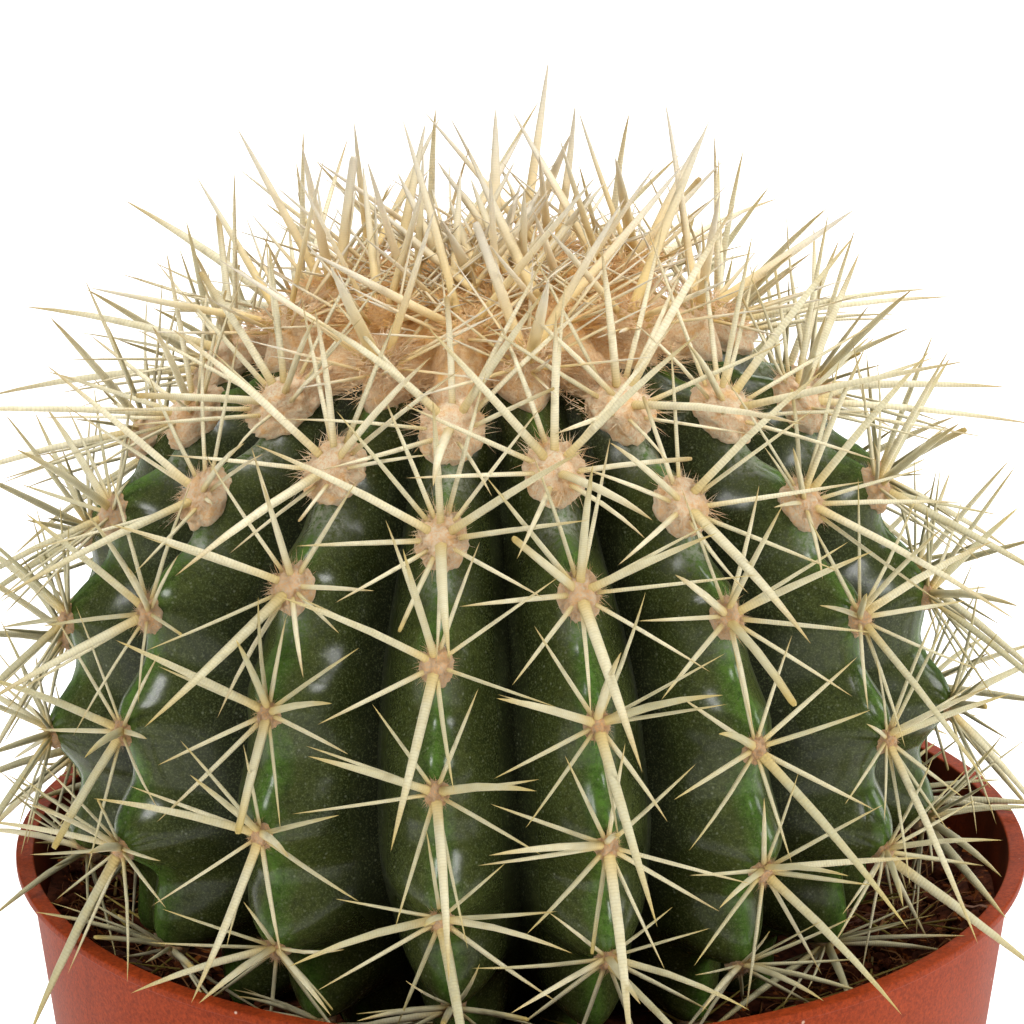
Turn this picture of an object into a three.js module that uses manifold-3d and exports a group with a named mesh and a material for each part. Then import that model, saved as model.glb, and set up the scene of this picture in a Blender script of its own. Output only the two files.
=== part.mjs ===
// A young golden barrel cactus in a round nursery pot, in millimetres with +Z up.
// The origin is the middle of the pot's underside, and the front of the plant faces -Y.
import * as THREE from 'three';
import * as BufferGeometryUtils from 'three/addons/utils/BufferGeometryUtils.js';
import Module from 'manifold-3d';

const wasm = await Module();
wasm.setup();

// Pot
const POT_HEIGHT = 95;
const LIP_RADIUS = 60;
const LIP_HEIGHT = 1.1;
const LIP_OVERHANG = 1.4;
const POT_WALL = 0.7;
const POT_FLOOR = 1.4;
const POT_TAPER = 0.13;
const POT_SIDES = 64;
const DRAIN_HOLES = 8;
const DRAIN_RADIUS = 3.5;
const DRAIN_CIRCLE_RADIUS = 34;
const DRAIN_SIDES = 12;

// Soil
const SOIL_DEPTH_BELOW_RIM = 11;
const SOIL_UNEVENNESS = 0.7;
const SOIL_SIDES = 40;
const SOIL_RING_RADII = [15, 30, 40, 46, 50, 54];
const SOIL_BANK = { height: 4, start: 46, full: 56.5 };
const SOIL_WAVES = [{ count: 3, twist: 0.11 }, { count: 7, twist: -0.23 }];
const SEAT_GAP = 0.35;

// Stem: it leans a little to the left, and the crest line of its ribs is a rounded outline,
// taller above its widest ring than below it, with a sunken top
const STEM_OFFSET_X = -2.5;
const STEM_LEAN = THREE.MathUtils.degToRad(-2.2);
const STEM_RADIUS = 52;
const STEM_MIDDLE_ABOVE_RIM = 16.3;
const STEM_UPPER = { height: 51.5, roundness: 2.1 };
const STEM_LOWER = { height: 38, roundness: 1.85 };
const CROWN_DIMPLE_DEPTH = 4.5;
const CROWN_DIMPLE_RADIUS = 15;
const FOOT_ANGLE = THREE.MathUtils.degToRad(-62);
const CREST_SAMPLES = 600;
const RIBS = 16;
const FIRST_RIB_AZIMUTH = THREE.MathUtils.degToRad(-54);
const RIB_WOBBLE = THREE.MathUtils.degToRad(2.1);
const RIB_WOBBLE_WAVES = 3;
const RIB_WOBBLE_START = 0.2;
const RIB_DEPTH = 9.5;
const RIB_START_ARC = 12;
const RIB_FULL_ARC = 46;
const RIB_FADE_ARC = 95;
const FOOT_RIB_DEPTH = 4;
const FOOT_BULGE = 1;
const RIB_ROUNDNESS = 1.45;
const TUBERCLE_SWELL = 1.1;
const TUBERCLE_FOOT_SWELL = 2.5;
const TUBERCLE_LEAD = 0.12;
const TUBERCLE_START_ARC = 20;
const TUBERCLE_FULL_ARC = 34;
const TUBERCLE_GROW_ARC = 64;
const TUBERCLE_FOOT_ARC = 110;
const COLUMNS_PER_RIB = 4;
const RING_STEP = 6;
const BURIED_RING_STEP = 12;

// Areoles climb each rib, and each rib's row starts a little further out than the last one's
const AREOLE_SPACING = 14.1;
const AREOLE_START = 1.9;
const AREOLE_STAGGER = 7 / 16;
const AREOLE_WAVE = 1.7;
const AREOLE_WAVES = 2;
const AREOLE_WAVE_START = 1.4;
const AREOLE_JITTER = 0.5;
const FIRST_AREOLE_ARC = 24.6;
const GROWN_AREOLE_ARC = 70;
const LAST_AREOLE_ABOVE_SOIL = 5.5;
const AREOLE_TOP_WIDTH = 5.2;
const AREOLE_LOW_WIDTH = 3.6;
const AREOLE_LENGTH_RATIO = 1.25;
const AREOLE_THICKNESS = 1.2;
const AREOLE_SINK = 2.6;
const RIDGE_FALL = 0.5;

// Each pad is a low cushion with facets, and one spine stands on each facet
const PAD_EDGE_SIDES = 6;
const PAD_TOP_SIDES = 3;
const PAD_TOP_PART = 0.42;
const PAD_BASE_PART = 0.85;
const PAD_EDGE_LIFT = 0.2;
const DOWNWARD = -0.8;
const STEM_SPINES = {
  edge: { lift: 24, length: 14 },
  inner: { lift: 44, length: 20 },
  lowest: { lift: 36, length: 26 },
  top: { lift: 72, length: 19 },
};
const LIFT_JITTER = 8;
const TURN_JITTER = 9;
const LENGTH_JITTER = 0.16;
const TOP_ROW_STRETCH = 1.1;
const LOW_ROW_STRETCH = 0.85;

// Crown of wool with its thicket of young spines
const CROWN_EDGE_ARC = 20.6;
const CROWN_THICKNESS = 3.4;
const CROWN_EDGE_THICKNESS = 1.2;
const CROWN_EDGE_WIDTH = 3;
const CROWN_BUMPS = 0.5;
const CROWN_SIDES = 32;
const CROWN_RINGS = 5;
const CROWN_TUFTS = 12;
const CROWN_TUFT_REACH = 17.4;
const CROWN_TUFT_START = 0.3;
const CROWN_TUFT_WIDTH = 3.6;
const CROWN_MIDDLE_STRETCH = 0.7;
const CROWN_SPINES = {
  edge: { lift: 46, length: 18 },
  inner: { lift: 60, length: 21 },
  lowest: { lift: 56, length: 23 },
  top: { lift: 80, length: 22 },
};
const GOLDEN_ANGLE = Math.PI * (3 - Math.sqrt(5));

// Clear space kept between spines and whatever they would otherwise cross
const SPINE_CLEARANCE = 0.35;
const SPINE_HALF_WIDTH = 0.6;
const SPINE_FREE_START = 3;
const PATH_STEP = 0.5;
const RIM_CLEARANCE = 1;
const BEND_STEP = 0.12;
const BEND_TRIES = 24;

const SEEDS = { areoles: 11, stemSpines: 23, crownSpines: 53, crownBumps: 71 };

const UP = new THREE.Vector3(0, 0, 1);

// A small generator of repeatable random numbers from 0 to 1
function seededRandom(seed) {
  let state = seed;
  return () => {
    state = (state + 0x6d2b79f5) | 0;
    let mixed = Math.imul(state ^ (state >>> 15), 1 | state);
    mixed = (mixed + Math.imul(mixed ^ (mixed >>> 7), 61 | mixed)) ^ mixed;
    return ((mixed ^ (mixed >>> 14)) >>> 0) / 4294967296;
  };
}

// A three.js geometry becomes a solid that can be joined and cut
function toSolid(geometry) {
  const bare = geometry.clone();
  bare.deleteAttribute('normal');
  bare.deleteAttribute('uv');
  const merged = BufferGeometryUtils.mergeVertices(bare, 1e-4);
  return new wasm.Manifold(new wasm.Mesh({
    numProp: 3,
    vertProperties: new Float32Array(merged.attributes.position.array),
    triVerts: new Uint32Array(merged.index.array),
  }));
}

function toGeometry(solid) {
  const mesh = solid.getMesh();
  const geometry = new THREE.BufferGeometry();
  geometry.setAttribute('position', new THREE.BufferAttribute(new Float32Array(mesh.vertProperties), 3));
  geometry.setIndex(new THREE.BufferAttribute(new Uint32Array(mesh.triVerts), 1));
  geometry.computeVertexNormals();
  return geometry;
}

// Solids are joined two by two, so that each join stays small
function joinAll(solids) {
  let round = solids;
  while (round.length > 1) {
    const next = [];
    for (let i = 0; i < round.length; i += 2) {
      next.push(i + 1 < round.length ? round[i].add(round[i + 1]) : round[i]);
    }
    round = next;
  }
  return round[0];
}

// The largest body of a join, with sealed hollows filled and loose scraps dropped
function largestBody(solid) {
  return solid.decompose().reduce((best, body) => (body.volume() > best.volume() ? body : best));
}

// A closed skin over rings of points that run from the top pole to the bottom pole
function skin(top, rings, bottom) {
  const columns = rings[0].length;
  const points = [top, ...rings.flat(), bottom];
  const index = [];
  const vertex = (ring, column) => 1 + ring * columns + (column % columns);
  for (let column = 0; column < columns; column++) {
    index.push(0, vertex(0, column), vertex(0, column + 1));
    for (let ring = 0; ring + 1 < rings.length; ring++) {
      const a = vertex(ring, column);
      const b = vertex(ring, column + 1);
      const c = vertex(ring + 1, column);
      const d = vertex(ring + 1, column + 1);
      index.push(a, c, b, b, c, d);
    }
    const last = rings.length - 1;
    index.push(points.length - 1, vertex(last, column + 1), vertex(last, column));
  }
  const geometry = new THREE.BufferGeometry();
  const coordinates = points.flatMap((point) => point.toArray());
  geometry.setAttribute('position', new THREE.Float32BufferAttribute(coordinates, 3));
  geometry.setIndex(index);
  return geometry;
}

// Pot

const WALL_TOP_RADIUS = LIP_RADIUS - LIP_OVERHANG;

function wallRadius(z) {
  return WALL_TOP_RADIUS - POT_TAPER * (POT_HEIGHT - z);
}

function makePot() {
  const corner = 1.2;
  const cornerInset = corner * (1 - Math.SQRT1_2);
  const edge = 0.3;
  const lipBottom = POT_HEIGHT - LIP_HEIGHT;
  const outline = [
    [0, 0],
    [wallRadius(0) - corner, 0],
    [wallRadius(0) - cornerInset, cornerInset],
    [wallRadius(corner), corner],
    [wallRadius(lipBottom), lipBottom],
    [LIP_RADIUS, lipBottom],
    [LIP_RADIUS, POT_HEIGHT - edge],
    [LIP_RADIUS - edge, POT_HEIGHT],
    [WALL_TOP_RADIUS - POT_WALL + edge, POT_HEIGHT],
    [WALL_TOP_RADIUS - POT_WALL, POT_HEIGHT - edge],
    [wallRadius(POT_FLOOR + corner) - POT_WALL, POT_FLOOR + corner],
    [wallRadius(POT_FLOOR) - POT_WALL - corner, POT_FLOOR],
    [0, POT_FLOOR],
  ].map(([radius, z]) => new THREE.Vector2(radius, z));
  let pot = toSolid(new THREE.LatheGeometry(outline, POT_SIDES).rotateX(Math.PI / 2));
  for (let i = 0; i < DRAIN_HOLES; i++) {
    const angle = (i / DRAIN_HOLES) * 2 * Math.PI;
    const hole = new THREE.CylinderGeometry(DRAIN_RADIUS, DRAIN_RADIUS, 4 * POT_FLOOR, DRAIN_SIDES);
    hole.rotateX(Math.PI / 2);
    hole.translate(DRAIN_CIRCLE_RADIUS * Math.cos(angle), DRAIN_CIRCLE_RADIUS * Math.sin(angle), 0);
    pot = pot.subtract(toSolid(hole));
  }
  return toGeometry(pot);
}

// Stem

const SOIL_TOP = POT_HEIGHT - SOIL_DEPTH_BELOW_RIM;

// The soil lies level round the stem and is heaped a little against the pot's wall
function soilLevel(radius) {
  return SOIL_TOP + SOIL_BANK.height * THREE.MathUtils.smoothstep(radius, SOIL_BANK.start, SOIL_BANK.full);
}

const STEM_MIDDLE = POT_HEIGHT + STEM_MIDDLE_ABOVE_RIM;

// The crest line from the middle of the crown down to the foot, as radius and height
function crestLine(samples) {
  const points = [];
  for (let i = 0; i <= samples; i++) {
    const angle = THREE.MathUtils.lerp(Math.PI / 2, FOOT_ANGLE, i / samples);
    const { height, roundness } = angle > 0 ? STEM_UPPER : STEM_LOWER;
    const radius = STEM_RADIUS * Math.max(Math.cos(angle), 0) ** (2 / roundness);
    const rise = height * Math.sign(Math.sin(angle)) * Math.abs(Math.sin(angle)) ** (2 / roundness);
    const dimple = CROWN_DIMPLE_DEPTH * Math.exp(-((radius / CROWN_DIMPLE_RADIUS) ** 2));
    points.push(new THREE.Vector2(radius, STEM_MIDDLE + rise - dimple));
  }
  return points;
}

const CREST = crestLine(CREST_SAMPLES);
const CREST_ARC = CREST.reduce((arcs, point, i) => {
  arcs.push(i === 0 ? 0 : arcs[i - 1] + point.distanceTo(CREST[i - 1]));
  return arcs;
}, []);
const STEM_ARC = CREST_ARC[CREST_ARC.length - 1];

// The crest line at a distance along it from the middle of the crown
function crestAt(arc) {
  let i = 1;
  while (i < CREST.length - 1 && CREST_ARC[i] < arc) i++;
  const part = (arc - CREST_ARC[i - 1]) / (CREST_ARC[i] - CREST_ARC[i - 1]);
  const along = CREST[i].clone().sub(CREST[i - 1]).normalize();
  const point = CREST[i - 1].clone().lerp(CREST[i], part);
  return { radius: point.x, z: point.y, down: along, out: new THREE.Vector2(-along.y, along.x) };
}

// Azimuth of a rib: 0 faces the front, and it grows towards +X
function ribAzimuth(rib) {
  const even = FIRST_RIB_AZIMUTH + (rib / RIBS) * 2 * Math.PI;
  return even + RIB_WOBBLE * Math.sin(((rib - RIB_WOBBLE_START) / RIBS) * RIB_WOBBLE_WAVES * 2 * Math.PI);
}

// The leaning stem's own place in the pot
const STEM_FRAME = new THREE.Matrix4().makeTranslation(STEM_OFFSET_X, 0, STEM_MIDDLE)
  .multiply(new THREE.Matrix4().makeRotationY(STEM_LEAN))
  .multiply(new THREE.Matrix4().makeTranslation(0, 0, -STEM_MIDDLE));
const STEM_FRAME_BACK = STEM_FRAME.clone().invert();

function around(radius, azimuth, z) {
  const upright = new THREE.Vector3(radius * Math.sin(azimuth), -radius * Math.cos(azimuth), z);
  return upright.applyMatrix4(STEM_FRAME);
}

// A direction of the leaning stem: out from its axis, and along it
function aim(out, azimuth, along) {
  return around(out, azimuth, along).sub(around(0, 0, 0)).normalize();
}

function ribDepth(arc) {
  const grown = THREE.MathUtils.smoothstep(arc, RIB_START_ARC, RIB_FULL_ARC);
  const foot = THREE.MathUtils.smoothstep(arc, RIB_FADE_ARC, STEM_ARC);
  return grown * THREE.MathUtils.lerp(RIB_DEPTH, FOOT_RIB_DEPTH, foot);
}

function areoleShift(rib) {
  const wave = Math.sin(((rib - AREOLE_WAVE_START) / RIBS) * AREOLE_WAVES * 2 * Math.PI);
  return AREOLE_START + AREOLE_SPACING * AREOLE_STAGGER * rib + AREOLE_WAVE * wave;
}

// The crest swells just above each areole and draws in just below it, more so towards the foot
function tubercle(rib, arc) {
  const phase = (arc - areoleShift(rib)) / AREOLE_SPACING + TUBERCLE_LEAD;
  const grown = THREE.MathUtils.smoothstep(arc, TUBERCLE_START_ARC, TUBERCLE_FULL_ARC);
  const low = THREE.MathUtils.smoothstep(arc, TUBERCLE_GROW_ARC, TUBERCLE_FOOT_ARC);
  const swell = grown * THREE.MathUtils.lerp(TUBERCLE_SWELL, TUBERCLE_FOOT_SWELL, low);
  return swell * Math.cos(2 * Math.PI * phase);
}

// A point of the skin: rib counts ribs with its fraction, so 2.5 is the furrow after rib 2
function skinPoint(rib, arc, grow = 0) {
  const near = Math.round(rib);
  const from = Math.floor(rib);
  const away = Math.abs(rib - near) * 2;
  const azimuth = THREE.MathUtils.lerp(ribAzimuth(from), ribAzimuth(from + 1), rib - from);
  const crest = crestAt(arc);
  const ridge = tubercle(near, arc) * (1 - away ** 2);
  const sink = grow + ridge - ribDepth(arc) * away ** RIB_ROUNDNESS;
  return around(crest.radius + crest.out.x * sink, azimuth, crest.z + crest.out.y * sink);
}

function makeStemBody(grow = 0) {
  const rings = [];
  const buried = CREST_ARC[CREST.findLastIndex((point) => point.y > SOIL_TOP)];
  let arc = 0;
  while (arc < STEM_ARC) {
    arc = Math.min(arc + (arc < buried ? RING_STEP : BURIED_RING_STEP), STEM_ARC);
    const points = [];
    for (let column = 0; column < RIBS * COLUMNS_PER_RIB; column++) {
      points.push(skinPoint(column / COLUMNS_PER_RIB, arc, grow));
    }
    rings.push(points);
  }
  const top = around(0, 0, crestAt(0).z + grow);
  const bottom = around(0, 0, crestAt(STEM_ARC).z - FOOT_BULGE - grow);
  return toSolid(skin(top, rings, bottom));
}

// Every areole with its place, its outward direction, the way up the rib and its width
function listAreoles() {
  const random = seededRandom(SEEDS.areoles);
  const areoles = [];
  for (let rib = 0; rib < RIBS; rib++) {
    for (let arc = areoleShift(rib) % AREOLE_SPACING; arc < STEM_ARC; arc += AREOLE_SPACING) {
      const place = arc + AREOLE_JITTER * (2 * random() - 1);
      if (place < FIRST_AREOLE_ARC) continue;
      const crest = crestAt(place);
      if (crest.z < SOIL_TOP + LAST_AREOLE_ABOVE_SOIL) continue;
      const azimuth = ribAzimuth(rib);
      const outward = aim(crest.out.x, azimuth, crest.out.y);
      const upward = aim(-crest.down.x, azimuth, -crest.down.y);
      const age = THREE.MathUtils.smoothstep(place, FIRST_AREOLE_ARC, GROWN_AREOLE_ARC);
      areoles.push({
        centre: skinPoint(rib, place),
        outward,
        upward,
        sideways: outward.clone().cross(upward),
        width: THREE.MathUtils.lerp(AREOLE_TOP_WIDTH, AREOLE_LOW_WIDTH, age),
        fall: RIDGE_FALL * (ribDepth(place) / RIB_DEPTH),
        stretch: THREE.MathUtils.lerp(TOP_ROW_STRETCH, LOW_ROW_STRETCH, age),
      });
    }
  }
  return areoles;
}

// Tufts: a felted pad with a spine on each of its facets

// A point of a pad, by its turn from straight up the rib, its distance out and its height.
// The pad's edge follows the skin as that falls away on both sides of the crest.
function padPoint(areole, turn, part, lift) {
  const side = (part * areole.width * Math.sin(turn)) / 2;
  const along = (part * areole.width * AREOLE_LENGTH_RATIO * Math.cos(turn)) / 2;
  return areole.centre.clone()
    .addScaledVector(areole.sideways, side)
    .addScaledVector(areole.upward, along)
    .addScaledVector(areole.outward, lift - areole.fall * Math.abs(side));
}

function padRing(areole, sides, part, lift) {
  return Array.from({ length: sides }, (_, i) => {
    return padPoint(areole, (i / sides) * 2 * Math.PI, part, lift);
  });
}

// The facets between the pad's edge and its top, each with the kind of spine that stands on it
function padFacets(edge, top) {
  const facets = [{ kind: 'top', corners: top }];
  const nearest = (i) => Math.floor((((i + 1) % edge.length) / edge.length) * top.length);
  for (let i = 0; i < edge.length; i++) {
    const here = nearest(i);
    const next = nearest(i + 1);
    facets.push({ kind: 'edge', corners: [edge[i], edge[(i + 1) % edge.length], top[here]] });
    if (here !== next) {
      facets.push({ kind: 'inner', corners: [edge[(i + 1) % edge.length], top[next], top[here]] });
    }
  }
  return facets;
}

function centreOf(points) {
  return points.reduce((sum, point) => sum.add(point), new THREE.Vector3()).divideScalar(points.length);
}

// The tuft of one areole: its spines are bent up or left out until each one is clear
function makeTuft(areole, kinds, random, isClear) {
  const spread = (size) => size * (2 * random() - 1);
  const base = padRing(areole, PAD_EDGE_SIDES, PAD_BASE_PART, -AREOLE_SINK);
  const edge = padRing(areole, PAD_EDGE_SIDES, 1, PAD_EDGE_LIFT);
  const top = padRing(areole, PAD_TOP_SIDES, PAD_TOP_PART, AREOLE_THICKNESS);
  const facets = padFacets(edge, top);
  const spines = [];
  for (const facet of facets) {
    const root = centreOf(facet.corners);
    const away = root.clone().sub(areole.centre);
    const turn = Math.atan2(away.dot(areole.sideways), away.dot(areole.upward))
      + THREE.MathUtils.degToRad(spread(TURN_JITTER));
    const pointsDown = facet.kind === 'inner' && Math.cos(turn) < DOWNWARD;
    const kind = kinds[pointsDown ? 'lowest' : facet.kind];
    const lift = THREE.MathUtils.degToRad(kind.lift + spread(LIFT_JITTER));
    const length = kind.length * areole.stretch * (1 + spread(LENGTH_JITTER));
    const direction = areole.upward.clone().multiplyScalar(Math.cos(turn) * Math.cos(lift))
      .addScaledVector(areole.sideways, Math.sin(turn) * Math.cos(lift))
      .addScaledVector(areole.outward, Math.sin(lift));
    for (let tries = 0; tries < BEND_TRIES && !facet.spine; tries++) {
      const spine = { root, tip: root.clone().addScaledVector(direction, length) };
      if (isClear(spine)) facet.spine = spine;
      direction.addScaledVector(UP, BEND_STEP).normalize();
    }
    if (facet.spine) spines.push(facet.spine);
  }
  return { solid: tuftSolid(base, edge, facets), spines };
}

// One closed body: facets, with a three-sided needle on each that has a spine, on a sunken base
function tuftSolid(base, edge, facets) {
  const triangles = [];
  for (const { corners: [a, b, c], spine } of facets) {
    if (spine) triangles.push([a, b, spine.tip], [b, c, spine.tip], [c, a, spine.tip]);
    else triangles.push([a, b, c]);
  }
  const bottom = centreOf(base);
  for (let i = 0; i < edge.length; i++) {
    const next = (i + 1) % edge.length;
    triangles.push([base[i], base[next], edge[i]], [base[next], edge[next], edge[i]]);
    triangles.push([bottom, base[next], base[i]]);
  }
  const geometry = new THREE.BufferGeometry();
  const coordinates = triangles.flat().flatMap((point) => point.toArray());
  geometry.setAttribute('position', new THREE.Float32BufferAttribute(coordinates, 3));
  return toSolid(geometry);
}

function pointsAlong(spine) {
  const count = Math.ceil(spine.root.distanceTo(spine.tip) / PATH_STEP);
  return Array.from({ length: count + 1 }, (_, k) => spine.root.clone().lerp(spine.tip, k / count));
}

// The soil, the pot's rim and the crown's wool, each with some room round it
function clearsSurroundings(spine) {
  const room = SPINE_HALF_WIDTH + SPINE_CLEARANCE;
  const crownEdge = crestAt(CROWN_EDGE_ARC).radius + room;
  return pointsAlong(spine).slice(SPINE_FREE_START / PATH_STEP).every((point) => {
    const fromPotAxis = Math.hypot(point.x, point.y);
    const inStem = point.clone().applyMatrix4(STEM_FRAME_BACK);
    const fromStemAxis = Math.hypot(inStem.x, inStem.y);
    if (fromPotAxis < LIP_RADIUS && point.z < soilLevel(fromPotAxis) + SOIL_UNEVENNESS + room) return false;
    const inRimZone = fromPotAxis > WALL_TOP_RADIUS - POT_WALL - room && fromPotAxis < LIP_RADIUS + room;
    if (inRimZone && point.z < POT_HEIGHT + RIM_CLEARANCE) return false;
    return fromStemAxis > crownEdge || inStem.z > crownTop(fromStemAxis) + room;
  });
}

function clearsSpines(spine, others) {
  const samples = pointsAlong(spine);
  const nearest = new THREE.Vector3();
  const room = 2 * SPINE_HALF_WIDTH + SPINE_CLEARANCE;
  return others.every((other) => {
    const line = new THREE.Line3(other.root, other.tip);
    return samples.every((point) => {
      line.closestPointToPoint(point, true, nearest);
      return nearest.distanceTo(point) > room;
    });
  });
}

function makeStem(tufts) {
  return toGeometry(largestBody(joinAll([makeStemBody(), ...tufts.map((tuft) => tuft.solid)])));
}

// Crown of wool

function crownThickness(arc) {
  const edge = THREE.MathUtils.smoothstep(arc, CROWN_EDGE_ARC - CROWN_EDGE_WIDTH, CROWN_EDGE_ARC);
  return THREE.MathUtils.lerp(CROWN_THICKNESS, CROWN_EDGE_THICKNESS, edge);
}

function crownPoint(arc, azimuth, lift) {
  const crest = crestAt(arc);
  return around(crest.radius + crest.out.x * lift, azimuth, crest.z + crest.out.y * lift);
}

// The height of the wool's top at a distance from the stem's axis, with its tufts
function crownTop(fromAxis) {
  const crest = crestAt(Math.min(fromAxis, CROWN_EDGE_ARC));
  return crest.z + SEAT_GAP + crownThickness(fromAxis) + CROWN_BUMPS;
}

// The youngest tufts, spread evenly over the wool by the golden angle
function listCrownTufts() {
  return Array.from({ length: CROWN_TUFTS }, (_, i) => {
    const out = Math.sqrt((i + CROWN_TUFT_START) / CROWN_TUFTS);
    const arc = CROWN_TUFT_REACH * out;
    const azimuth = i * GOLDEN_ANGLE;
    const lean = crestAt(arc).radius / STEM_RADIUS;
    const outward = aim(lean, azimuth, 1);
    const sideways = aim(1, azimuth - Math.PI / 2, 0);
    return {
      centre: crownPoint(arc, azimuth, SEAT_GAP + CROWN_THICKNESS),
      outward,
      upward: sideways.clone().cross(outward),
      sideways,
      width: CROWN_TUFT_WIDTH,
      fall: 0,
      stretch: THREE.MathUtils.lerp(CROWN_MIDDLE_STRETCH, 1, out),
    };
  });
}

function makeCrown(tufts) {
  const random = seededRandom(SEEDS.crownBumps);
  const top = [];
  const under = [];
  for (let ring = 1; ring <= CROWN_RINGS; ring++) {
    const arc = (ring / CROWN_RINGS) * CROWN_EDGE_ARC;
    const upper = [];
    const lower = [];
    for (let column = 0; column < CROWN_SIDES; column++) {
      const azimuth = FIRST_RIB_AZIMUTH + (column / CROWN_SIDES) * 2 * Math.PI;
      const bump = ring < CROWN_RINGS ? CROWN_BUMPS * (2 * random() - 1) : 0;
      upper.push(crownPoint(arc, azimuth, SEAT_GAP + crownThickness(arc) + bump));
      lower.push(crownPoint(arc, azimuth, SEAT_GAP));
    }
    top.push(upper);
    under.unshift(lower);
  }
  const middle = crestAt(0).z + SEAT_GAP;
  const peak = around(0, 0, middle + CROWN_THICKNESS);
  const wool = toSolid(skin(peak, [...top, ...under], around(0, 0, middle)));
  return toGeometry(largestBody(joinAll([wool, ...tufts.map((tuft) => tuft.solid)])));
}

// Soil: fills the pot, with a hollow that the stem's foot sits in

function soilTop(radius, azimuth) {
  const waves = SOIL_WAVES.map(({ count, twist }) => Math.sin(count * azimuth + twist * radius));
  return soilLevel(radius) + (SOIL_UNEVENNESS * waves.reduce((sum, wave) => sum + wave)) / SOIL_WAVES.length;
}

function makeSoil() {
  const corner = 2;
  const bottomZ = POT_FLOOR + SEAT_GAP;
  const inside = (z) => wallRadius(z) - POT_WALL - SEAT_GAP;
  const levels = SOIL_RING_RADII.map((radius) => ({ radius }));
  levels.push({ radius: inside(SOIL_TOP + SOIL_BANK.height) });
  levels.push({ radius: inside(bottomZ + corner), z: bottomZ + corner });
  levels.push({ radius: inside(bottomZ) - corner, z: bottomZ });
  const rings = levels.map(({ radius, z }) => {
    const ring = [];
    for (let column = 0; column < SOIL_SIDES; column++) {
      const azimuth = (column / SOIL_SIDES) * 2 * Math.PI;
      ring.push(new THREE.Vector3(radius * Math.sin(azimuth), -radius * Math.cos(azimuth),
        z ?? soilTop(radius, azimuth)));
    }
    return ring;
  });
  const bed = toSolid(skin(new THREE.Vector3(0, 0, SOIL_TOP), rings, new THREE.Vector3(0, 0, bottomZ)));
  return toGeometry(largestBody(bed.subtract(makeStemBody(SEAT_GAP))));
}

const MATERIALS = {
  pot: new THREE.MeshStandardMaterial({ color: 0xb0543b, roughness: 0.6, metalness: 0 }),
  soil: new THREE.MeshStandardMaterial({ color: 0x3b2a20, roughness: 0.95, metalness: 0 }),
  cactus_stem: new THREE.MeshStandardMaterial({ color: 0x2f4a24, roughness: 0.4, metalness: 0 }),
  crown_wool: new THREE.MeshStandardMaterial({ color: 0xd2aa75, roughness: 0.9, metalness: 0 }),
};

const group = new THREE.Group();

function addPiece(name, geometry) {
  const mesh = new THREE.Mesh(geometry, MATERIALS[name]);
  mesh.name = name;
  group.add(mesh);
}

function makeTufts(places, kinds, seed, isClear) {
  const random = seededRandom(seed);
  return places.map((place) => makeTuft(place, kinds, random, isClear));
}

const stemTufts = makeTufts(listAreoles(), STEM_SPINES, SEEDS.stemSpines, clearsSurroundings);
const stemSpines = stemTufts.flatMap((tuft) => tuft.spines);
const clearsStem = (spine) => clearsSpines(spine, stemSpines);
const crownTufts = makeTufts(listCrownTufts(), CROWN_SPINES, SEEDS.crownSpines, clearsStem);
addPiece('pot', makePot());
addPiece('soil', makeSoil());
addPiece('cactus_stem', makeStem(stemTufts));
addPiece('crown_wool', makeCrown(crownTufts));

export default group;
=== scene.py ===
# A young golden barrel cactus in a round plastic nursery pot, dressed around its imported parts.
# Metres, with +Z up and the front of the plant towards -Y.
import bisect
import math
import random
import bpy
from mathutils import Matrix, Vector, noise
from mathutils.bvhtree import BVHTree


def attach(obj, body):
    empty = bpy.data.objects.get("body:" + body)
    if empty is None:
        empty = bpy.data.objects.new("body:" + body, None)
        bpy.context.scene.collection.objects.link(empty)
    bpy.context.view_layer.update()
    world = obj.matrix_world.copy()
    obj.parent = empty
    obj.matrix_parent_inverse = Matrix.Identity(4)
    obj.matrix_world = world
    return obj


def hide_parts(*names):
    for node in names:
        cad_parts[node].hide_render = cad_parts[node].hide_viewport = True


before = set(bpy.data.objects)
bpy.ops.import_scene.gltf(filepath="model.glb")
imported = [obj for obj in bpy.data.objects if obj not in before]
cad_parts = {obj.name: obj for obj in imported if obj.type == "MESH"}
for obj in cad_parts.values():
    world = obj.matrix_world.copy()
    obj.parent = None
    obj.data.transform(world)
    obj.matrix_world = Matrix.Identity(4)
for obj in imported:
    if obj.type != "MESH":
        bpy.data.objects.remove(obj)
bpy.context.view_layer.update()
print("stage: frame loaded")


# Small helpers that every piece uses

def deselectAll():
    bpy.ops.object.select_all(action="DESELECT")


def lerp(a, b, part):
    return a + (b - a) * part


def smoothstep(value, low, high):
    part = min(max((value - low) / (high - low), 0.0), 1.0)
    return part * part * (3 - 2 * part)


def hexColour(text):
    # sRGB hex to the linear values that shaders use
    channels = [int(text[i:i + 2], 16) / 255 for i in (1, 3, 5)]
    linear = [c / 12.92 if c <= 0.04045 else ((c + 0.055) / 1.055) ** 2.4 for c in channels]
    return (*linear, 1.0)


def selectOnly(piece):
    deselectAll()
    piece.select_set(True)
    bpy.context.view_layer.objects.active = piece


def nameActive(name):
    piece = bpy.context.object
    piece.name = name
    piece.data.name = name
    return piece


def applyModifiers(piece):
    selectOnly(piece)
    for modifier in list(piece.modifiers):
        bpy.ops.object.modifier_apply(modifier=modifier.name)


def smoothByAngle(piece, degrees):
    selectOnly(piece)
    bpy.ops.object.shade_smooth_by_angle(angle=math.radians(degrees))


mergeDistance = 1e-6
fineMergeDistance = 1e-7


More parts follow.
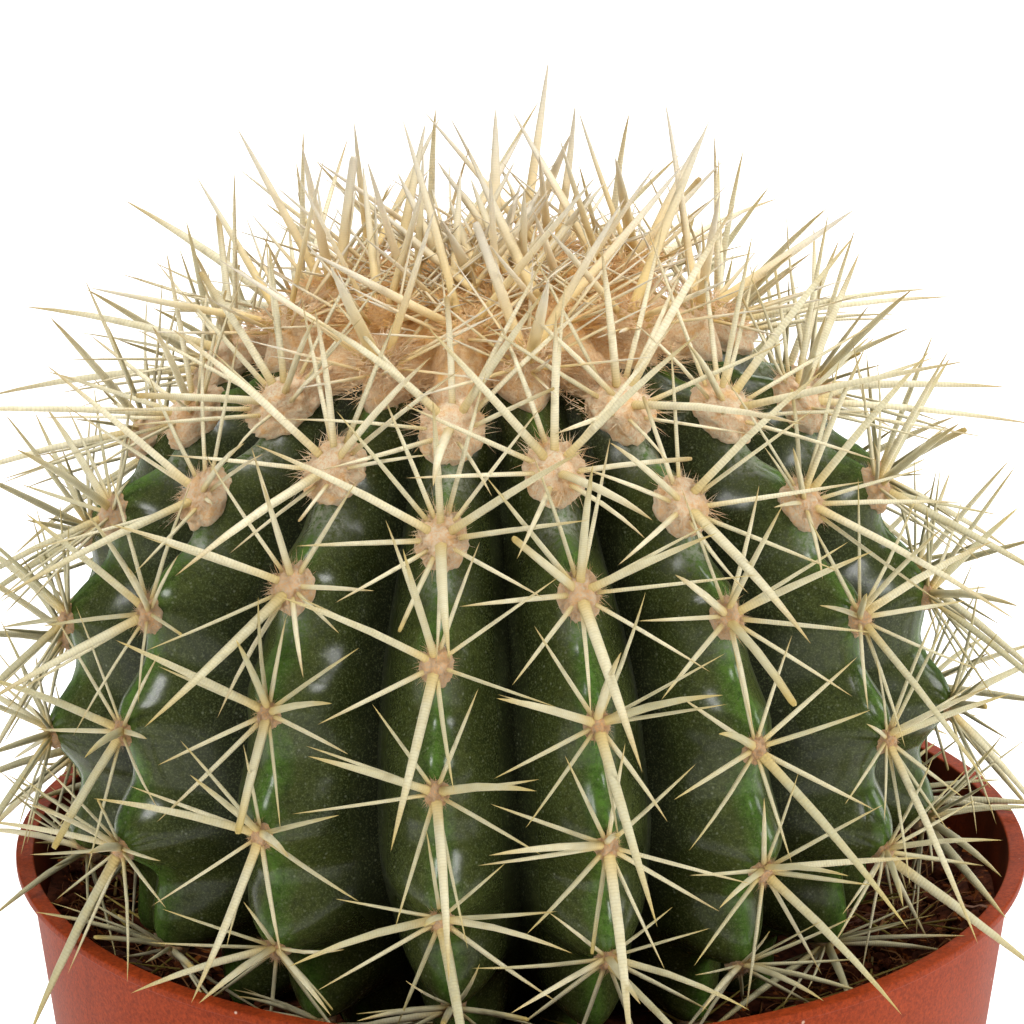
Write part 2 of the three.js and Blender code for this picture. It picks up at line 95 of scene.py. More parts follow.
def closeMesh(piece, distance=mergeDistance):
    # doubles merged first, then the normals turned outwards
    selectOnly(piece)
    bpy.ops.object.mode_set(mode="EDIT")
    bpy.ops.mesh.select_all(action="SELECT")
    bpy.ops.mesh.remove_doubles(threshold=distance)
    bpy.ops.mesh.normals_make_consistent(inside=False)
    bpy.ops.object.mode_set(mode="OBJECT")


def setAttribute(piece, name, values):
    attribute = piece.data.attributes.get(name)
    if attribute is None:
        attribute = piece.data.attributes.new(name, "FLOAT", "POINT")
    attribute.data.foreach_set("value", values)


def plainCopy(model):
    # a copy with its own mesh
    copy = model.copy()
    copy.data = model.data.copy()
    bpy.context.scene.collection.objects.link(copy)
    return copy


def copyOf(model, tone):
    # a copy with a tone of its own for the material to vary by
    copy = plainCopy(model)
    setAttribute(copy, "tone", [tone] * len(copy.data.vertices))
    return copy


def joinCopies(copies, name):
    deselectAll()
    for copy in copies:
        copy.select_set(True)
    bpy.context.view_layer.objects.active = copies[0]
    bpy.ops.object.join()
    return nameActive(name)


def dropModel(model):
    bpy.data.objects.remove(model)


def finishPiece(piece, material, replaced=None):
    piece.data.materials.clear()
    piece.data.materials.append(material)
    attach(piece, "root")
    if replaced:
        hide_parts(replaced)


def lumpsAt(point, lumps, shift=Vector((0, 0, 0))):
    # the sum of several noises, each given as its size and its scale
    return sum(size * noise.noise(point * scale + shift) for size, scale in lumps)


def newMaterial(name):
    material = bpy.data.materials.new(name)
    material.use_nodes = True
    return material


def setInputs(material, node, inputs):
    # each input gets a number, a colour as hex text, a socket, or a node for the first output it has in use
    for name, value in inputs.items():
        socket = node.inputs[name]
        if isinstance(value, bpy.types.Node):
            value = next(output for output in value.outputs if output.enabled)
        if isinstance(value, bpy.types.NodeSocket):
            material.node_tree.links.new(value, socket)
        else:
            socket.default_value = hexColour(value) if isinstance(value, str) else value


def addNode(material, kind, inputs=None, **settings):
    # a Mix node's colour inputs share their names with others, so they go by number: 6 below and 7 on top
    node = material.node_tree.nodes.new("ShaderNode" + kind)
    for name, value in settings.items():
        setattr(node, name, value)
    setInputs(material, node, inputs or {})
    return node


def finishShader(material, inputs):
    setInputs(material, material.node_tree.nodes["Principled BSDF"], inputs)
    return material


# Seeds of the random draws: one for each list of places, and one for each piece
seeds = {
    "areolePlaces": 11,
    "stemSpinePlaces": 29,
    "looseTuftPlaces": 17,
    "crownSpinePlaces": 53,
    "oldSpinePlaces": 59,
    "fallenSpinePlaces": 61,
    "areoleHairs": 5,
    "radialSpines": 3,
    "centralSpines": 4,
    "crownHairs": 6,
    "crownSpines": 7,
    "soilCrumbs": 41,
    "soilFibres": 31,
    "soilRootlets": 37,
    "soilGrit": 43,
    "oldSpines": 8,
    "fallenSpines": 9,
}


# Camera, fitted to the photograph: the pot's rim, the rows of areoles and the stem's outline

view = {
    "target": Vector((-0.00106, 0.0, 0.13611)),
    "elevation": math.radians(18.99),
    "distance": 0.700,
    "lens": 210.5,
    "sensor": 36.0,
    "nearest": 0.01,
    "farthest": 50,
}
away = Vector((0, -math.cos(view["elevation"]), math.sin(view["elevation"])))
bpy.ops.object.camera_add(location=view["target"] + view["distance"] * away)
camera = nameActive("camera")
camera.rotation_euler = (-away).to_track_quat("-Z", "Y").to_euler()
camera.data.lens = view["lens"]
camera.data.sensor_width = view["sensor"]
camera.data.clip_start = view["nearest"]
camera.data.clip_end = view["farthest"]
bpy.context.scene.camera = camera


# Studio: a pale sweep of floor and large soft lights

studio = {
    "floorSize": 16.0,
    "floorColour": "#f4f3f1",
    "worldColour": "#ffffff",
    "floorGlow": 0.50,               # as a backlit table, so that the ground stays white
    "worldStrength": 0.28,
    "lights": [
        # name, place, size, watts: each one faces the plant
        ("keySoftbox", (-0.75, -0.85, 0.95), 0.32, 8.0),
        ("fillSoftbox", (0.95, -0.70, 0.70), 0.32, 7.0),
        ("topSoftbox", (0.05, 0.10, 1.30), 0.60, 10.0),
        ("backSoftbox", (0.10, 1.10, 0.85), 0.60, 5.0),
        ("sideSoftbox", (1.15, 0.20, 0.40), 0.40, 4.0),
    ],
    "aim": Vector((0, 0, 0.11)),
}
bpy.ops.mesh.primitive_plane_add(size=studio["floorSize"], location=(0, 0, 0))
floor = nameActive("floor")
floor.data.materials.append(finishShader(newMaterial("matte white studio paper"), {
    "Base Color": studio["floorColour"],
    "Roughness": 0.9,
    "Emission Color": studio["floorColour"],
    "Emission Strength": studio["floorGlow"],
}))
for name, place, size, watts in studio["lights"]:
    bpy.ops.object.light_add(type="AREA", location=place)
    light = nameActive(name)
    light.data.shape = "DISK" if name == "topSoftbox" else "SQUARE"
    light.data.size = size
    light.data.energy = watts
    light.rotation_euler = (studio["aim"] - Vector(place)).to_track_quat("-Z", "Y").to_euler()
    light.visible_camera = False
world = bpy.data.worlds.new("studio air")
world.use_nodes = True
world.node_tree.nodes["Background"].inputs["Color"].default_value = hexColour(studio["worldColour"])
world.node_tree.nodes["Background"].inputs["Strength"].default_value = studio["worldStrength"]
bpy.context.scene.world = world
bpy.context.scene.view_settings.view_transform = "Standard"
bpy.context.scene.view_settings.look = "None"
print("stage: studio and camera")


# Pot: polypropylene, injection moulded, with a fine matte grain

potShape = {
    "height": 0.095,
    "lipRadius": 0.060,
    "lipHeight": 0.0011,
    "lipOverhang": 0.0014,
    "wall": 0.0007,
    "floor": 0.0014,
    "taper": 0.13,
    "cornerRadius": 0.0012,
    "edgeRadius": 0.0003,
    "steps": 224,
    "creaseAngle": 35,
    "drainHoles": 8,
    "drainSides": 32,
    "drainRadius": 0.0035,
    "drainCircle": 0.034,
    "colour": "#a04018",
    "rubbedColour": "#903614",
    "grainColour": "#561d0b",
    "dustColour": "#cfae98",
    # soil stain and painted shade on the inner wall
    "stainAndShadeColour": "#35190f",
}
wallTopRadius = potShape["lipRadius"] - potShape["lipOverhang"]


def wallRadius(z):
    return wallTopRadius - potShape["taper"] * (potShape["height"] - z)


def roundCorner(before, corner, after, radius, steps=4):
    # points of a rounded corner, on the curve that touches both of its sides
    start = corner + (before - corner).normalized() * radius
    end = corner + (after - corner).normalized() * radius
    points = []
    for i in range(steps + 1):
        t = i / steps
        points.append(start * (1 - t) ** 2 + corner * 2 * t * (1 - t) + end * t ** 2)
    return points


def potOutline():
    top = potShape["height"]
    lipBottom = top - potShape["lipHeight"]
    lip = potShape["lipRadius"]
    inner = wallTopRadius - potShape["wall"]
    floorTop = potShape["floor"]
    corners = [
        (0, 0, 0),
        (wallRadius(0), 0, potShape["cornerRadius"]),
        (wallRadius(lipBottom), lipBottom, potShape["edgeRadius"]),
        (lip, lipBottom, potShape["edgeRadius"]),
        (lip, top, potShape["edgeRadius"]),
        (inner, top, potShape["edgeRadius"]),
        (wallRadius(floorTop) - potShape["wall"], floorTop, potShape["cornerRadius"]),
        (0, floorTop, 0),
    ]
    points = [Vector((x, 0, z)) for x, z, radius in corners]
    outline = [points[0]]
    for i in range(1, len(corners) - 1):
        outline += roundCorner(points[i - 1], points[i], points[i + 1], corners[i][2])
    return outline + [points[-1]]


def spinOutline(name, outline, steps):
    mesh = bpy.data.meshes.new(name)
    mesh.from_pydata(outline, [(i, i + 1) for i in range(len(outline) - 1)], [])
    piece = bpy.data.objects.new(name, mesh)
    bpy.context.scene.collection.objects.link(piece)
    selectOnly(piece)
    bpy.ops.object.mode_set(mode="EDIT")
    bpy.ops.mesh.select_all(action="SELECT")
    bpy.ops.mesh.spin(steps=steps, angle=2 * math.pi, center=(0, 0, 0), axis=(0, 0, 1))
    bpy.ops.object.mode_set(mode="OBJECT")
    closeMesh(piece)
    return piece


def cutWith(piece, cutter, solver="EXACT"):
    modifier = piece.modifiers.new("cut", "BOOLEAN")
    modifier.operation = "DIFFERENCE"
    modifier.object = cutter
    modifier.solver = solver
    applyModifiers(piece)


def makePot():
    pot = spinOutline("plasticPot", potOutline(), potShape["steps"])
    for i in range(potShape["drainHoles"]):
        angle = 2 * math.pi * i / potShape["drainHoles"]
        place = Vector((math.cos(angle), math.sin(angle), 0)) * potShape["drainCircle"]
        deselectAll()
        bpy.ops.mesh.primitive_cylinder_add(vertices=potShape["drainSides"], radius=potShape["drainRadius"],
                                            depth=6 * potShape["floor"], location=place)
        punch = nameActive("drainPunch")
        cutWith(pot, punch)
        dropModel(punch)
    smoothByAngle(pot, potShape["creaseAngle"])
    # 1 on the inner wall, which the soil has stained and which is darkened with painted shade, and 0
    # elsewhere
    low = potShape["floor"] / 2
    high = potShape["height"] - potShape["edgeRadius"] / 2
    inner = []
    for vertex in pot.data.vertices:
        x, y, z = vertex.co
        nearMiddle = math.hypot(x, y) < wallRadius(z) - potShape["wall"] / 2
        inner.append(float(nearMiddle and low < z < high))
    setAttribute(pot, "inner", inner)
    return pot


def potMaterial():
    material = newMaterial("matte moulded polypropylene, terracotta")
    spot = addNode(material, "TexCoord").outputs["Object"]
    # slow change of tone where hands and soil have rubbed it
    cloud = addNode(material, "TexNoise", {"Vector": spot, "Scale": 45, "Detail": 4, "Roughness": 0.6})
    # the mould's spark grain, 0.25 mm in the plastic and drawn at 0.4 mm so that it shows
    grain = addNode(material, "TexNoise", {"Vector": spot, "Scale": 2100, "Detail": 3, "Roughness": 0.85})
    body = addNode(material, "Mix", {0: cloud, 6: potShape["colour"], 7: potShape["rubbedColour"]},
                   data_type="RGBA")
    grainShade = addNode(material, "MapRange",
                         {"Value": grain, "From Min": 0.36, "From Max": 0.66, "To Max": 0.75})
    grained = addNode(material, "Mix", {0: grainShade, 6: body, 7: potShape["grainColour"]}, data_type="RGBA")
    # dust specks, about one every 3 mm and a tenth of that across
    specks = addNode(material, "TexVoronoi", {"Vector": spot, "Scale": 330})
    speckEdge = addNode(material, "MapRange",
                        {"Value": specks, "From Min": 0.05, "From Max": 0.09, "To Min": 1.0, "To Max": 0.0})
    patchy = addNode(material, "TexNoise", {"Vector": spot, "Scale": 90, "Detail": 1})
    patchEdge = addNode(material, "MapRange", {"Value": patchy, "From Min": 0.55, "From Max": 0.62})
    dust = addNode(material, "Math", {0: speckEdge, 1: patchEdge}, operation="MULTIPLY")
    dusted = addNode(material, "Mix", {0: dust, 6: grained, 7: potShape["dustColour"]}, data_type="RGBA")
    # the soil's stain on the inner wall, in patches, together with painted shade inside the pot's wall
    inner = addNode(material, "Attribute", attribute_name="inner").outputs["Fac"]
    stain = addNode(material, "MapRange",
                    {"Value": patchy, "From Min": 0.25, "From Max": 0.75, "To Min": 0.45, "To Max": 0.95})
    stainAndShadeShare = addNode(material, "Math", {0: inner, 1: stain}, operation="MULTIPLY")
    stained = addNode(material, "Mix", {0: stainAndShadeShare, 6: dusted, 7: potShape["stainAndShadeColour"]},
                      data_type="RGBA")
    rough = addNode(material, "MapRange", {"Value": cloud, "To Min": 0.46, "To Max": 0.62})
    bump = addNode(material, "Bump", {"Strength": 0.25, "Distance": 0.00008, "Height": grain})
    return finishShader(material, {
        "Base Color": stained,
        "Roughness": rough,
        "Normal": bump,
        "IOR": 1.49,
        "Specular IOR Level": 0.08,
    })


pot = makePot()
finishPiece(pot, potMaterial(), "pot")
print("stage: pot")


# Stem: the same leaning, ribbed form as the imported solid, with finer skin

stem = {
    "offset": -0.0025,
    "lean": math.radians(-2.2),
    "radius": 0.052,
    "middle": 0.1113,
    "upper": (0.0515, 2.1),        # height and roundness of the outline above its widest ring
    "lower": (0.0380, 1.85),       # and below it
    "dimpleDepth": 0.0045,
    "dimpleRadius": 0.015,
    "footAngle": math.radians(-62),
    "ribs": 16,
    "firstRib": math.radians(-54),
    "wobble": math.radians(2.1),
    "wobblePhase": 0.2,
    "wobbleWaves": 3,
    "ribDepth": 0.0095,
    "footRibDepth": 0.004,
    "ribStart": 0.012,             # distances along a rib count from the crown's middle
    "ribFull": 0.046,
    "ribFade": 0.095,
    "ribRoundness": 1.45,
    "swell": 0.0011,
    "footSwell": 0.0025,
    "swellLead": 0.12,
    "swellStarts": (0.020, 0.034),
    "swellGrows": (0.064, 0.110),
    "columnsPerRib": 18,
    "rings": 150,
    "crestSamples": 600,
    "lumps": [(0.00022, 9), (0.00010, 27)],
    "poleFade": 4,                 # how fast the lumps grow from nothing at the top and the foot
    "creaseAngle": 50,
}
areoleRows = {
    "spacing": 0.0141,
    "start": 0.0019,
    "stagger": 7 / 16,
    "wave": 0.0017,
    "wavePhase": 1.4,
    "waves": 2,
    "jitter": 0.0005,
    "first": 0.0246,
    "grown": 0.070,
    "aboveSoil": 0.0055,
    "buried": 0.0006,
    "topWidth": 0.0074,
    "lowWidth": 0.0028,
    "topThickness": 0.0020,
    "lowThickness": 0.0009,
    "lengthRatio": 1.25,
    "topStretch": 1.1,
    "lowStretch": 0.85,
}
soilTop = 0.084
soilBank = {"height": 0.0040, "start": 0.046, "full": 0.0565}
rimTop = potShape["height"]


def soilLevel(fromAxis):
    # level round the stem, and heaped a little against the pot's wall
    return soilTop + soilBank["height"] * smoothstep(fromAxis, soilBank["start"], soilBank["full"])


def crestLine(samples):
    points = []
    for i in range(samples + 1):
        angle = lerp(math.pi / 2, stem["footAngle"], i / samples)
        height, roundness = stem["upper"] if angle > 0 else stem["lower"]
        radius = stem["radius"] * max(math.cos(angle), 0) ** (2 / roundness)
        rise = height * math.copysign(abs(math.sin(angle)) ** (2 / roundness), math.sin(angle))
        dimple = stem["dimpleDepth"] * math.exp(-((radius / stem["dimpleRadius"]) ** 2))
        points.append(Vector((radius, stem["middle"] + rise - dimple)))
    return points


crest = crestLine(stem["crestSamples"])
crestArc = [0.0]
for i in range(1, len(crest)):
    crestArc.append(crestArc[-1] + (crest[i] - crest[i - 1]).length)
stemArc = crestArc[-1]


def crestAt(arc):
    # radius, height and the outward direction of the crest line at a distance along it
    i = min(max(bisect.bisect_left(crestArc, arc), 1), len(crest) - 1)
    part = (arc - crestArc[i - 1]) / (crestArc[i] - crestArc[i - 1])
    down = (crest[i] - crest[i - 1]).normalized()
    point = crest[i - 1].lerp(crest[i], part)
    return point.x, point.y, down, Vector((-down.y, down.x))


stemFrame = (Matrix.Translation((stem["offset"], 0, stem["middle"]))
             @ Matrix.Rotation(stem["lean"], 4, "Y")
             @ Matrix.Translation((0, 0, -stem["middle"])))


def around(radius, azimuth, z):
    # azimuth 0 faces the front and grows towards +X
    return stemFrame @ Vector((radius * math.sin(azimuth), -radius * math.cos(azimuth), z))


def aim(out, azimuth, along):
    return (around(out, azimuth, along) - around(0, 0, 0)).normalized()


def ribAzimuth(rib):
    turn = 2 * math.pi / stem["ribs"]
    wobble = math.sin((rib - stem["wobblePhase"]) * turn * stem["wobbleWaves"])
    return stem["firstRib"] + rib * turn + stem["wobble"] * wobble


def azimuthAt(rib):
    # a place between two crests lies in line between their azimuths
    low = math.floor(rib)
    return lerp(ribAzimuth(low), ribAzimuth(low + 1), rib - low)


def ribDepth(arc):
    full = lerp(stem["ribDepth"], stem["footRibDepth"], smoothstep(arc, stem["ribFade"], stemArc))
    return smoothstep(arc, stem["ribStart"], stem["ribFull"]) * full


def areoleShift(rib):
    wave = math.sin((rib - areoleRows["wavePhase"]) / stem["ribs"] * areoleRows["waves"] * 2 * math.pi)
    steps = areoleRows["spacing"] * areoleRows["stagger"] * rib
    return areoleRows["start"] + steps + areoleRows["wave"] * wave


def tubercle(rib, arc):
    # the crest swells just above each areole and draws in just below it, more so towards the foot
    phase = (arc - areoleShift(rib)) / areoleRows["spacing"] + stem["swellLead"]
    swell = lerp(stem["swell"], stem["footSwell"], smoothstep(arc, *stem["swellGrows"]))
    return swell * smoothstep(arc, *stem["swellStarts"]) * math.cos(2 * math.pi * phase)


def skinPoint(rib, arc, grow=0.0):
    near = math.floor(rib + 0.5)
    away = abs(rib - near) * 2
    radius, z, down, out = crestAt(arc)
    ridge = tubercle(near, arc) * (1 - away ** 2)
    sink = grow + ridge - ribDepth(arc) * away ** stem["ribRoundness"]
    return around(radius + out.x * sink, azimuthAt(rib), z + out.y * sink)


def axesAt(rib, arc):
    # a place on the skin with its directions straight out, up the rib and across it
    radius, z, down, out = crestAt(arc)
    outward = aim(out.x, azimuthAt(rib), out.y)
    upward = aim(-down.x, azimuthAt(rib), -down.y)
    return {
        "centre": skinPoint(rib, arc),
        "outward": outward,
        "upward": upward,
        "sideways": outward.cross(upward),
    }


def seededRandom(seed):
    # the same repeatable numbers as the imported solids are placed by
    state = seed

    def draw():
        nonlocal state
        state = (state + 0x6D2B79F5) & 0xFFFFFFFF
        mixed = (state ^ (state >> 15)) * (1 | state) & 0xFFFFFFFF
        mixed = ((mixed + ((mixed ^ (mixed >> 7)) * (61 | mixed) & 0xFFFFFFFF)) & 0xFFFFFFFF) ^ mixed
        return (mixed ^ (mixed >> 14)) / 4294967296

    return draw


def listAreoles():
    # the youngest areoles, whose felt runs together, the rows down the ribs, and the oldest, at the soil
    draw = seededRandom(seeds["areolePlaces"])
    youngest, rows, oldest = [], [], []
    for rib in range(stem["ribs"]):
        arc = areoleShift(rib) % areoleRows["spacing"]
        while arc < stemArc:
            place = arc + areoleRows["jitter"] * (2 * draw() - 1)
            arc += areoleRows["spacing"]
            z = crestAt(place)[1]
            if z < soilTop + areoleRows["buried"]:
                continue
            age = smoothstep(place, areoleRows["first"], areoleRows["grown"])
            low = z < soilTop + areoleRows["aboveSoil"]
            group = youngest if place < areoleRows["first"] else oldest if low else rows
            group.append({
                **axesAt(rib, place),
                "rib": rib,
                "arc": place,
                "width": lerp(areoleRows["topWidth"], areoleRows["lowWidth"], age),
                "thickness": lerp(areoleRows["topThickness"], areoleRows["lowThickness"], age),
                "age": age,
                "stretch": lerp(areoleRows["topStretch"], areoleRows["lowStretch"], age),
            })
    return youngest, rows, oldest


youngestAreoles, areoles, oldestAreoles = listAreoles()


def ribAndPolar(point):
    # the place of a point of a round ball counted in ribs, and its angle from the top
    rib = (math.atan2(point.x, -point.y) / (2 * math.pi) * stem["ribs"]) % stem["ribs"]
    return rib, math.acos(min(max(point.z, -1), 1))


# place and size of the scurf in widths of its areole, and the width of a rib that it is measured on
scurfPatch = {"below": 0.8, "length": 0.35, "width": 0.45, "ribWidth": 0.020}


def scurfAt(rib, arc):
    # the white scurf left below a young areole as the rib grew
    near = math.floor(rib + 0.5)
    patch = 0.0
    for areole in areoles:
        if areole["rib"] != near % stem["ribs"]:
            continue
        below = ((arc - areole["arc"]) / areole["width"] - scurfPatch["below"]) / scurfPatch["length"]
        aside = (rib - near) * scurfPatch["ribWidth"] / areole["width"] / scurfPatch["width"]
        patch = max(patch, (1 - areole["age"]) * math.exp(-(below ** 2) - aside ** 2))
    return patch


def makeSkin():
    columns = stem["ribs"] * stem["columnsPerRib"]
    deselectAll()
    bpy.ops.mesh.primitive_uv_sphere_add(segments=columns, ring_count=stem["rings"], radius=1)
    skin = nameActive("cactusSkin")
    crestShare = []
    scurf = []
    for vertex in skin.data.vertices:
        rib, polar = ribAndPolar(vertex.co)
        arc = polar / math.pi * stemArc
        pole = math.sin(math.pi * arc / stemArc)
        lumps = lumpsAt(vertex.co, stem["lumps"])
        vertex.co = skinPoint(rib, arc, lumps * min(stem["poleFade"] * pole, 1))
        crestShare.append(1 - abs(rib - math.floor(rib + 0.5)) * 2)
        scurf.append(scurfAt(rib, arc))
    setAttribute(skin, "crest", crestShare)
    setAttribute(skin, "scurf", scurf)
    closeMesh(skin, fineMergeDistance)
    smoothByAngle(skin, stem["creaseAngle"])
    return skin


skinFinish = {
    # painted shade deep in the furrows
    "furrow": "#1c200a",
    "flank": "#414920",
    # painted light along the crests
    "crest": "#52782b",
    "shadow": "#182010",
    "dust": "#80895a",
    "speckle": "#a3a98c",
    "scurf": "#b9bcae",
}


def skinMaterial():
    material = newMaterial("waxy cactus skin, grown")
    spot = addNode(material, "TexCoord").outputs["Object"]
    crestShare = addNode(material, "Attribute", attribute_name="crest").outputs["Fac"]
    scurfShare = addNode(material, "Attribute", attribute_name="scurf").outputs["Fac"]
    blotch = addNode(material, "TexNoise", {"Vector": spot, "Scale": 160, "Detail": 5, "Roughness": 0.62})
    # painted shade darkens the flanks into the furrow, painted light brightens the crest band, and blotches
    # of 6 mm break the change up
    shift = addNode(material, "Math", {0: blotch, 1: 0.45}, operation="MULTIPLY")
    wander = addNode(material, "Math", {0: crestShare, 1: shift}, operation="ADD")
    flankShare = addNode(material, "MapRange", {"Value": wander, "From Min": 0.35, "From Max": 0.95})
    crestLightBand = addNode(material, "MapRange", {"Value": wander, "From Min": 0.98, "From Max": 1.30})
    lower = addNode(material, "Mix", {0: flankShare, 6: skinFinish["furrow"], 7: skinFinish["flank"]},
                    data_type="RGBA")
    # painted light: the crest band is lighter green
    green = addNode(material, "Mix", {0: crestLightBand, 6: lower, 7: skinFinish["crest"]}, data_type="RGBA")
    # the living skin is mottled, with spots of 0.7 mm
    mottle = addNode(material, "TexNoise", {"Vector": spot, "Scale": 1400, "Detail": 3, "Roughness": 0.75})
    mottleShare = addNode(material, "MapRange",
                          {"Value": mottle, "From Min": 0.40, "From Max": 0.66, "To Max": 0.55})
    mottled = addNode(material, "Mix", {0: mottleShare, 6: green, 7: skinFinish["shadow"]}, data_type="RGBA")
    # and dusty, in specks of 0.25 mm
    dust = addNode(material, "TexNoise", {"Vector": spot, "Scale": 4200, "Detail": 2, "Roughness": 0.8})
    dustShare = addNode(material, "MapRange",
                        {"Value": dust, "From Min": 0.50, "From Max": 0.78, "To Max": 0.45})
    dusted = addNode(material, "Mix", {0: dustShare, 6: mottled, 7: skinFinish["dust"]}, data_type="RGBA")
    # pale pores: dots of 0.15 mm, drawn at 0.3 mm so that they show
    pores = addNode(material, "TexVoronoi", {"Vector": spot, "Scale": 1150})
    poreEdge = addNode(material, "MapRange",
                       {"Value": pores, "From Min": 0.06, "From Max": 0.24, "To Min": 0.28, "To Max": 0.0})
    poreField = addNode(material, "TexNoise", {"Vector": spot, "Scale": 900, "Detail": 1})
    poreGate = addNode(material, "MapRange", {"Value": poreField, "From Min": 0.45, "From Max": 0.62})
    poreShare = addNode(material, "Math", {0: poreEdge, 1: poreGate}, operation="MULTIPLY")
    speckled = addNode(material, "Mix", {0: poreShare, 6: dusted, 7: skinFinish["speckle"]}, data_type="RGBA")
    # scurf: flakes of dead felt
    flakes = addNode(material, "TexNoise", {"Vector": spot, "Scale": 1400, "Detail": 4, "Roughness": 0.7})
    flakeGate = addNode(material, "MapRange", {"Value": flakes, "From Min": 0.35, "From Max": 0.68})
    flaky = addNode(material, "Math", {0: scurfShare, 1: flakeGate}, operation="MULTIPLY")
    scurfy = addNode(material, "Mix", {0: flaky, 6: speckled, 7: skinFinish["scurf"]}, data_type="RGBA")
    # the wax is polished on the crests and dull with dust deep in the furrows
    rough = addNode(material, "MapRange", {"Value": blotch, "To Min": 0.12, "To Max": 0.27})
    dull = addNode(material, "Math", {0: flaky, 1: 0.4}, operation="MULTIPLY")
    dusty = addNode(material, "MapRange",
                    {"Value": crestShare, "From Max": 0.28, "To Min": 0.6, "To Max": 0.0})
    rougher = addNode(material, "Math", {0: rough, 1: dull}, operation="ADD")
    rougherStill = addNode(material, "Math", {0: rougher, 1: dusty}, operation="ADD")
    # the bloom on the wax scatters glancing light
    glance = addNode(material, "LayerWeight", {"Blend": 0.5}).outputs["Facing"]
    bloom = addNode(material, "MapRange",
                    {"Value": glance, "From Min": 0.78, "From Max": 0.98, "To Max": 0.5})
    roughAll = addNode(material, "Math", {0: rougherStill, 1: bloom}, operation="ADD")
    fine = addNode(material, "Bump", {"Strength": 0.35, "Distance": 0.00010, "Height": blotch})
    pitted = addNode(material, "Bump",
                     {"Strength": 0.25, "Distance": 0.00005, "Height": poreField, "Normal": fine})
    return finishShader(material, {
        "Base Color": scurfy,
        "Roughness": roughAll,
        "Normal": pitted,
        "IOR": 1.45,
        "Specular IOR Level": 0.27,
    })


skin = makeSkin()
finishPiece(skin, skinMaterial(), "cactus_stem")
print("stage: stem skin,", len(areoles), "areoles")


# Felt of the areoles: a lumpy pad on each one, with short hairs

felt = {
    "padSink": 0.0007,
    "padLumps": [(0.20, 2.2), (0.08, 6), (0.08, 16)],
    "padTone": [(0.9, 5)],
    "padShift": 7.3,                 # from one pad to the next, in the noise that its lumps come from
    "hairsPerPad": 360,
    "hairLength": (0.20, 0.46),      # hairs are sized in half pad widths
    "hairWidth": 0.018,
    "tufts": 4,
    "tuftEdge": 0.98,
    "tuftRadius": 0.95,
    "tuftHeight": 0.78,
    "splay": (0.25, 1.5),            # in the middle of a tuft, and added towards its edge
    "mess": 0.45,
    "curl": 0.25,
    "droop": 0.15,
    "pale": "#fdf0d0",
    "warm": "#f9c47c",
    "pink": "#f8d9b4",
    "deep": "#ffc457",
    "aged": "#ad8a66",
    # painted shade for the hollows between the tangles
    "hollow": "#e6ad6e",
}


def makePadModel():
    deselectAll()
    bpy.ops.mesh.primitive_ico_sphere_add(subdivisions=4, radius=1)
    return nameActive("padModel")


def padMatrix(areole, sink, rise=0.0):
    # the pad's own axes: across the rib, up the rib and straight out
    half = areole["width"] / 2
    columns = (areole["sideways"] * half, areole["upward"] * half * areoleRows["lengthRatio"],
               areole["outward"] * (areole["thickness"] + sink))
    centre = areole["centre"] + areole["outward"] * (rise - sink)
    return Matrix([[columns[c][r] for c in range(3)] + [centre[r]] for r in range(3)] + [[0, 0, 0, 1]])


def makePads():
    model = makePadModel()
    points = [vertex.co.copy() for vertex in model.data.vertices]
    pads = []
    for number, areole in enumerate(areoles + oldestAreoles):
        pad = plainCopy(model)
        place = padMatrix(areole, felt["padSink"])
        seedShift = Vector((number * felt["padShift"], 0, 0))
        for vertex, point in zip(pad.data.vertices, points):
            vertex.co = place @ (point * (1 + lumpsAt(point, felt["padLumps"], seedShift)))
        setAttribute(pad, "tone", [0.5 + lumpsAt(point, felt["padTone"], seedShift) for point in points])
        setAttribute(pad, "aged", [areole["age"]] * len(points))
        pads.append(pad)
    dropModel(model)
    joined = joinCopies(pads, "areolePads")
    bpy.ops.object.shade_smooth()
    return joined


def makeHairModel():
    # one hair, 1 long and three-sided, drawn to a point
    deselectAll()
    bpy.ops.mesh.primitive_circle_add(vertices=3, radius=1, fill_type="NGON")
    hair = nameActive("hairModel")
    bpy.ops.object.mode_set(mode="EDIT")
    bpy.ops.mesh.select_all(action="SELECT")
    bpy.ops.mesh.extrude_region_move(TRANSFORM_OT_translate={"value": (0, 0, 1)})
    bpy.ops.mesh.merge(type="CENTER")
    bpy.ops.object.mode_set(mode="OBJECT")
    closeMesh(hair)
    return hair


def placeHair(model, points, root, direction, length, bow, tone):
    hair = copyOf(model, tone)
    side = direction.orthogonal().normalized()
    other = direction.cross(side)
    for vertex, point in zip(hair.data.vertices, points):
        centre = root + direction * length * point.z + bow * point.z ** 2
        vertex.co = centre + (side * point.x + other * point.y) * felt["hairWidth"]
    return hair


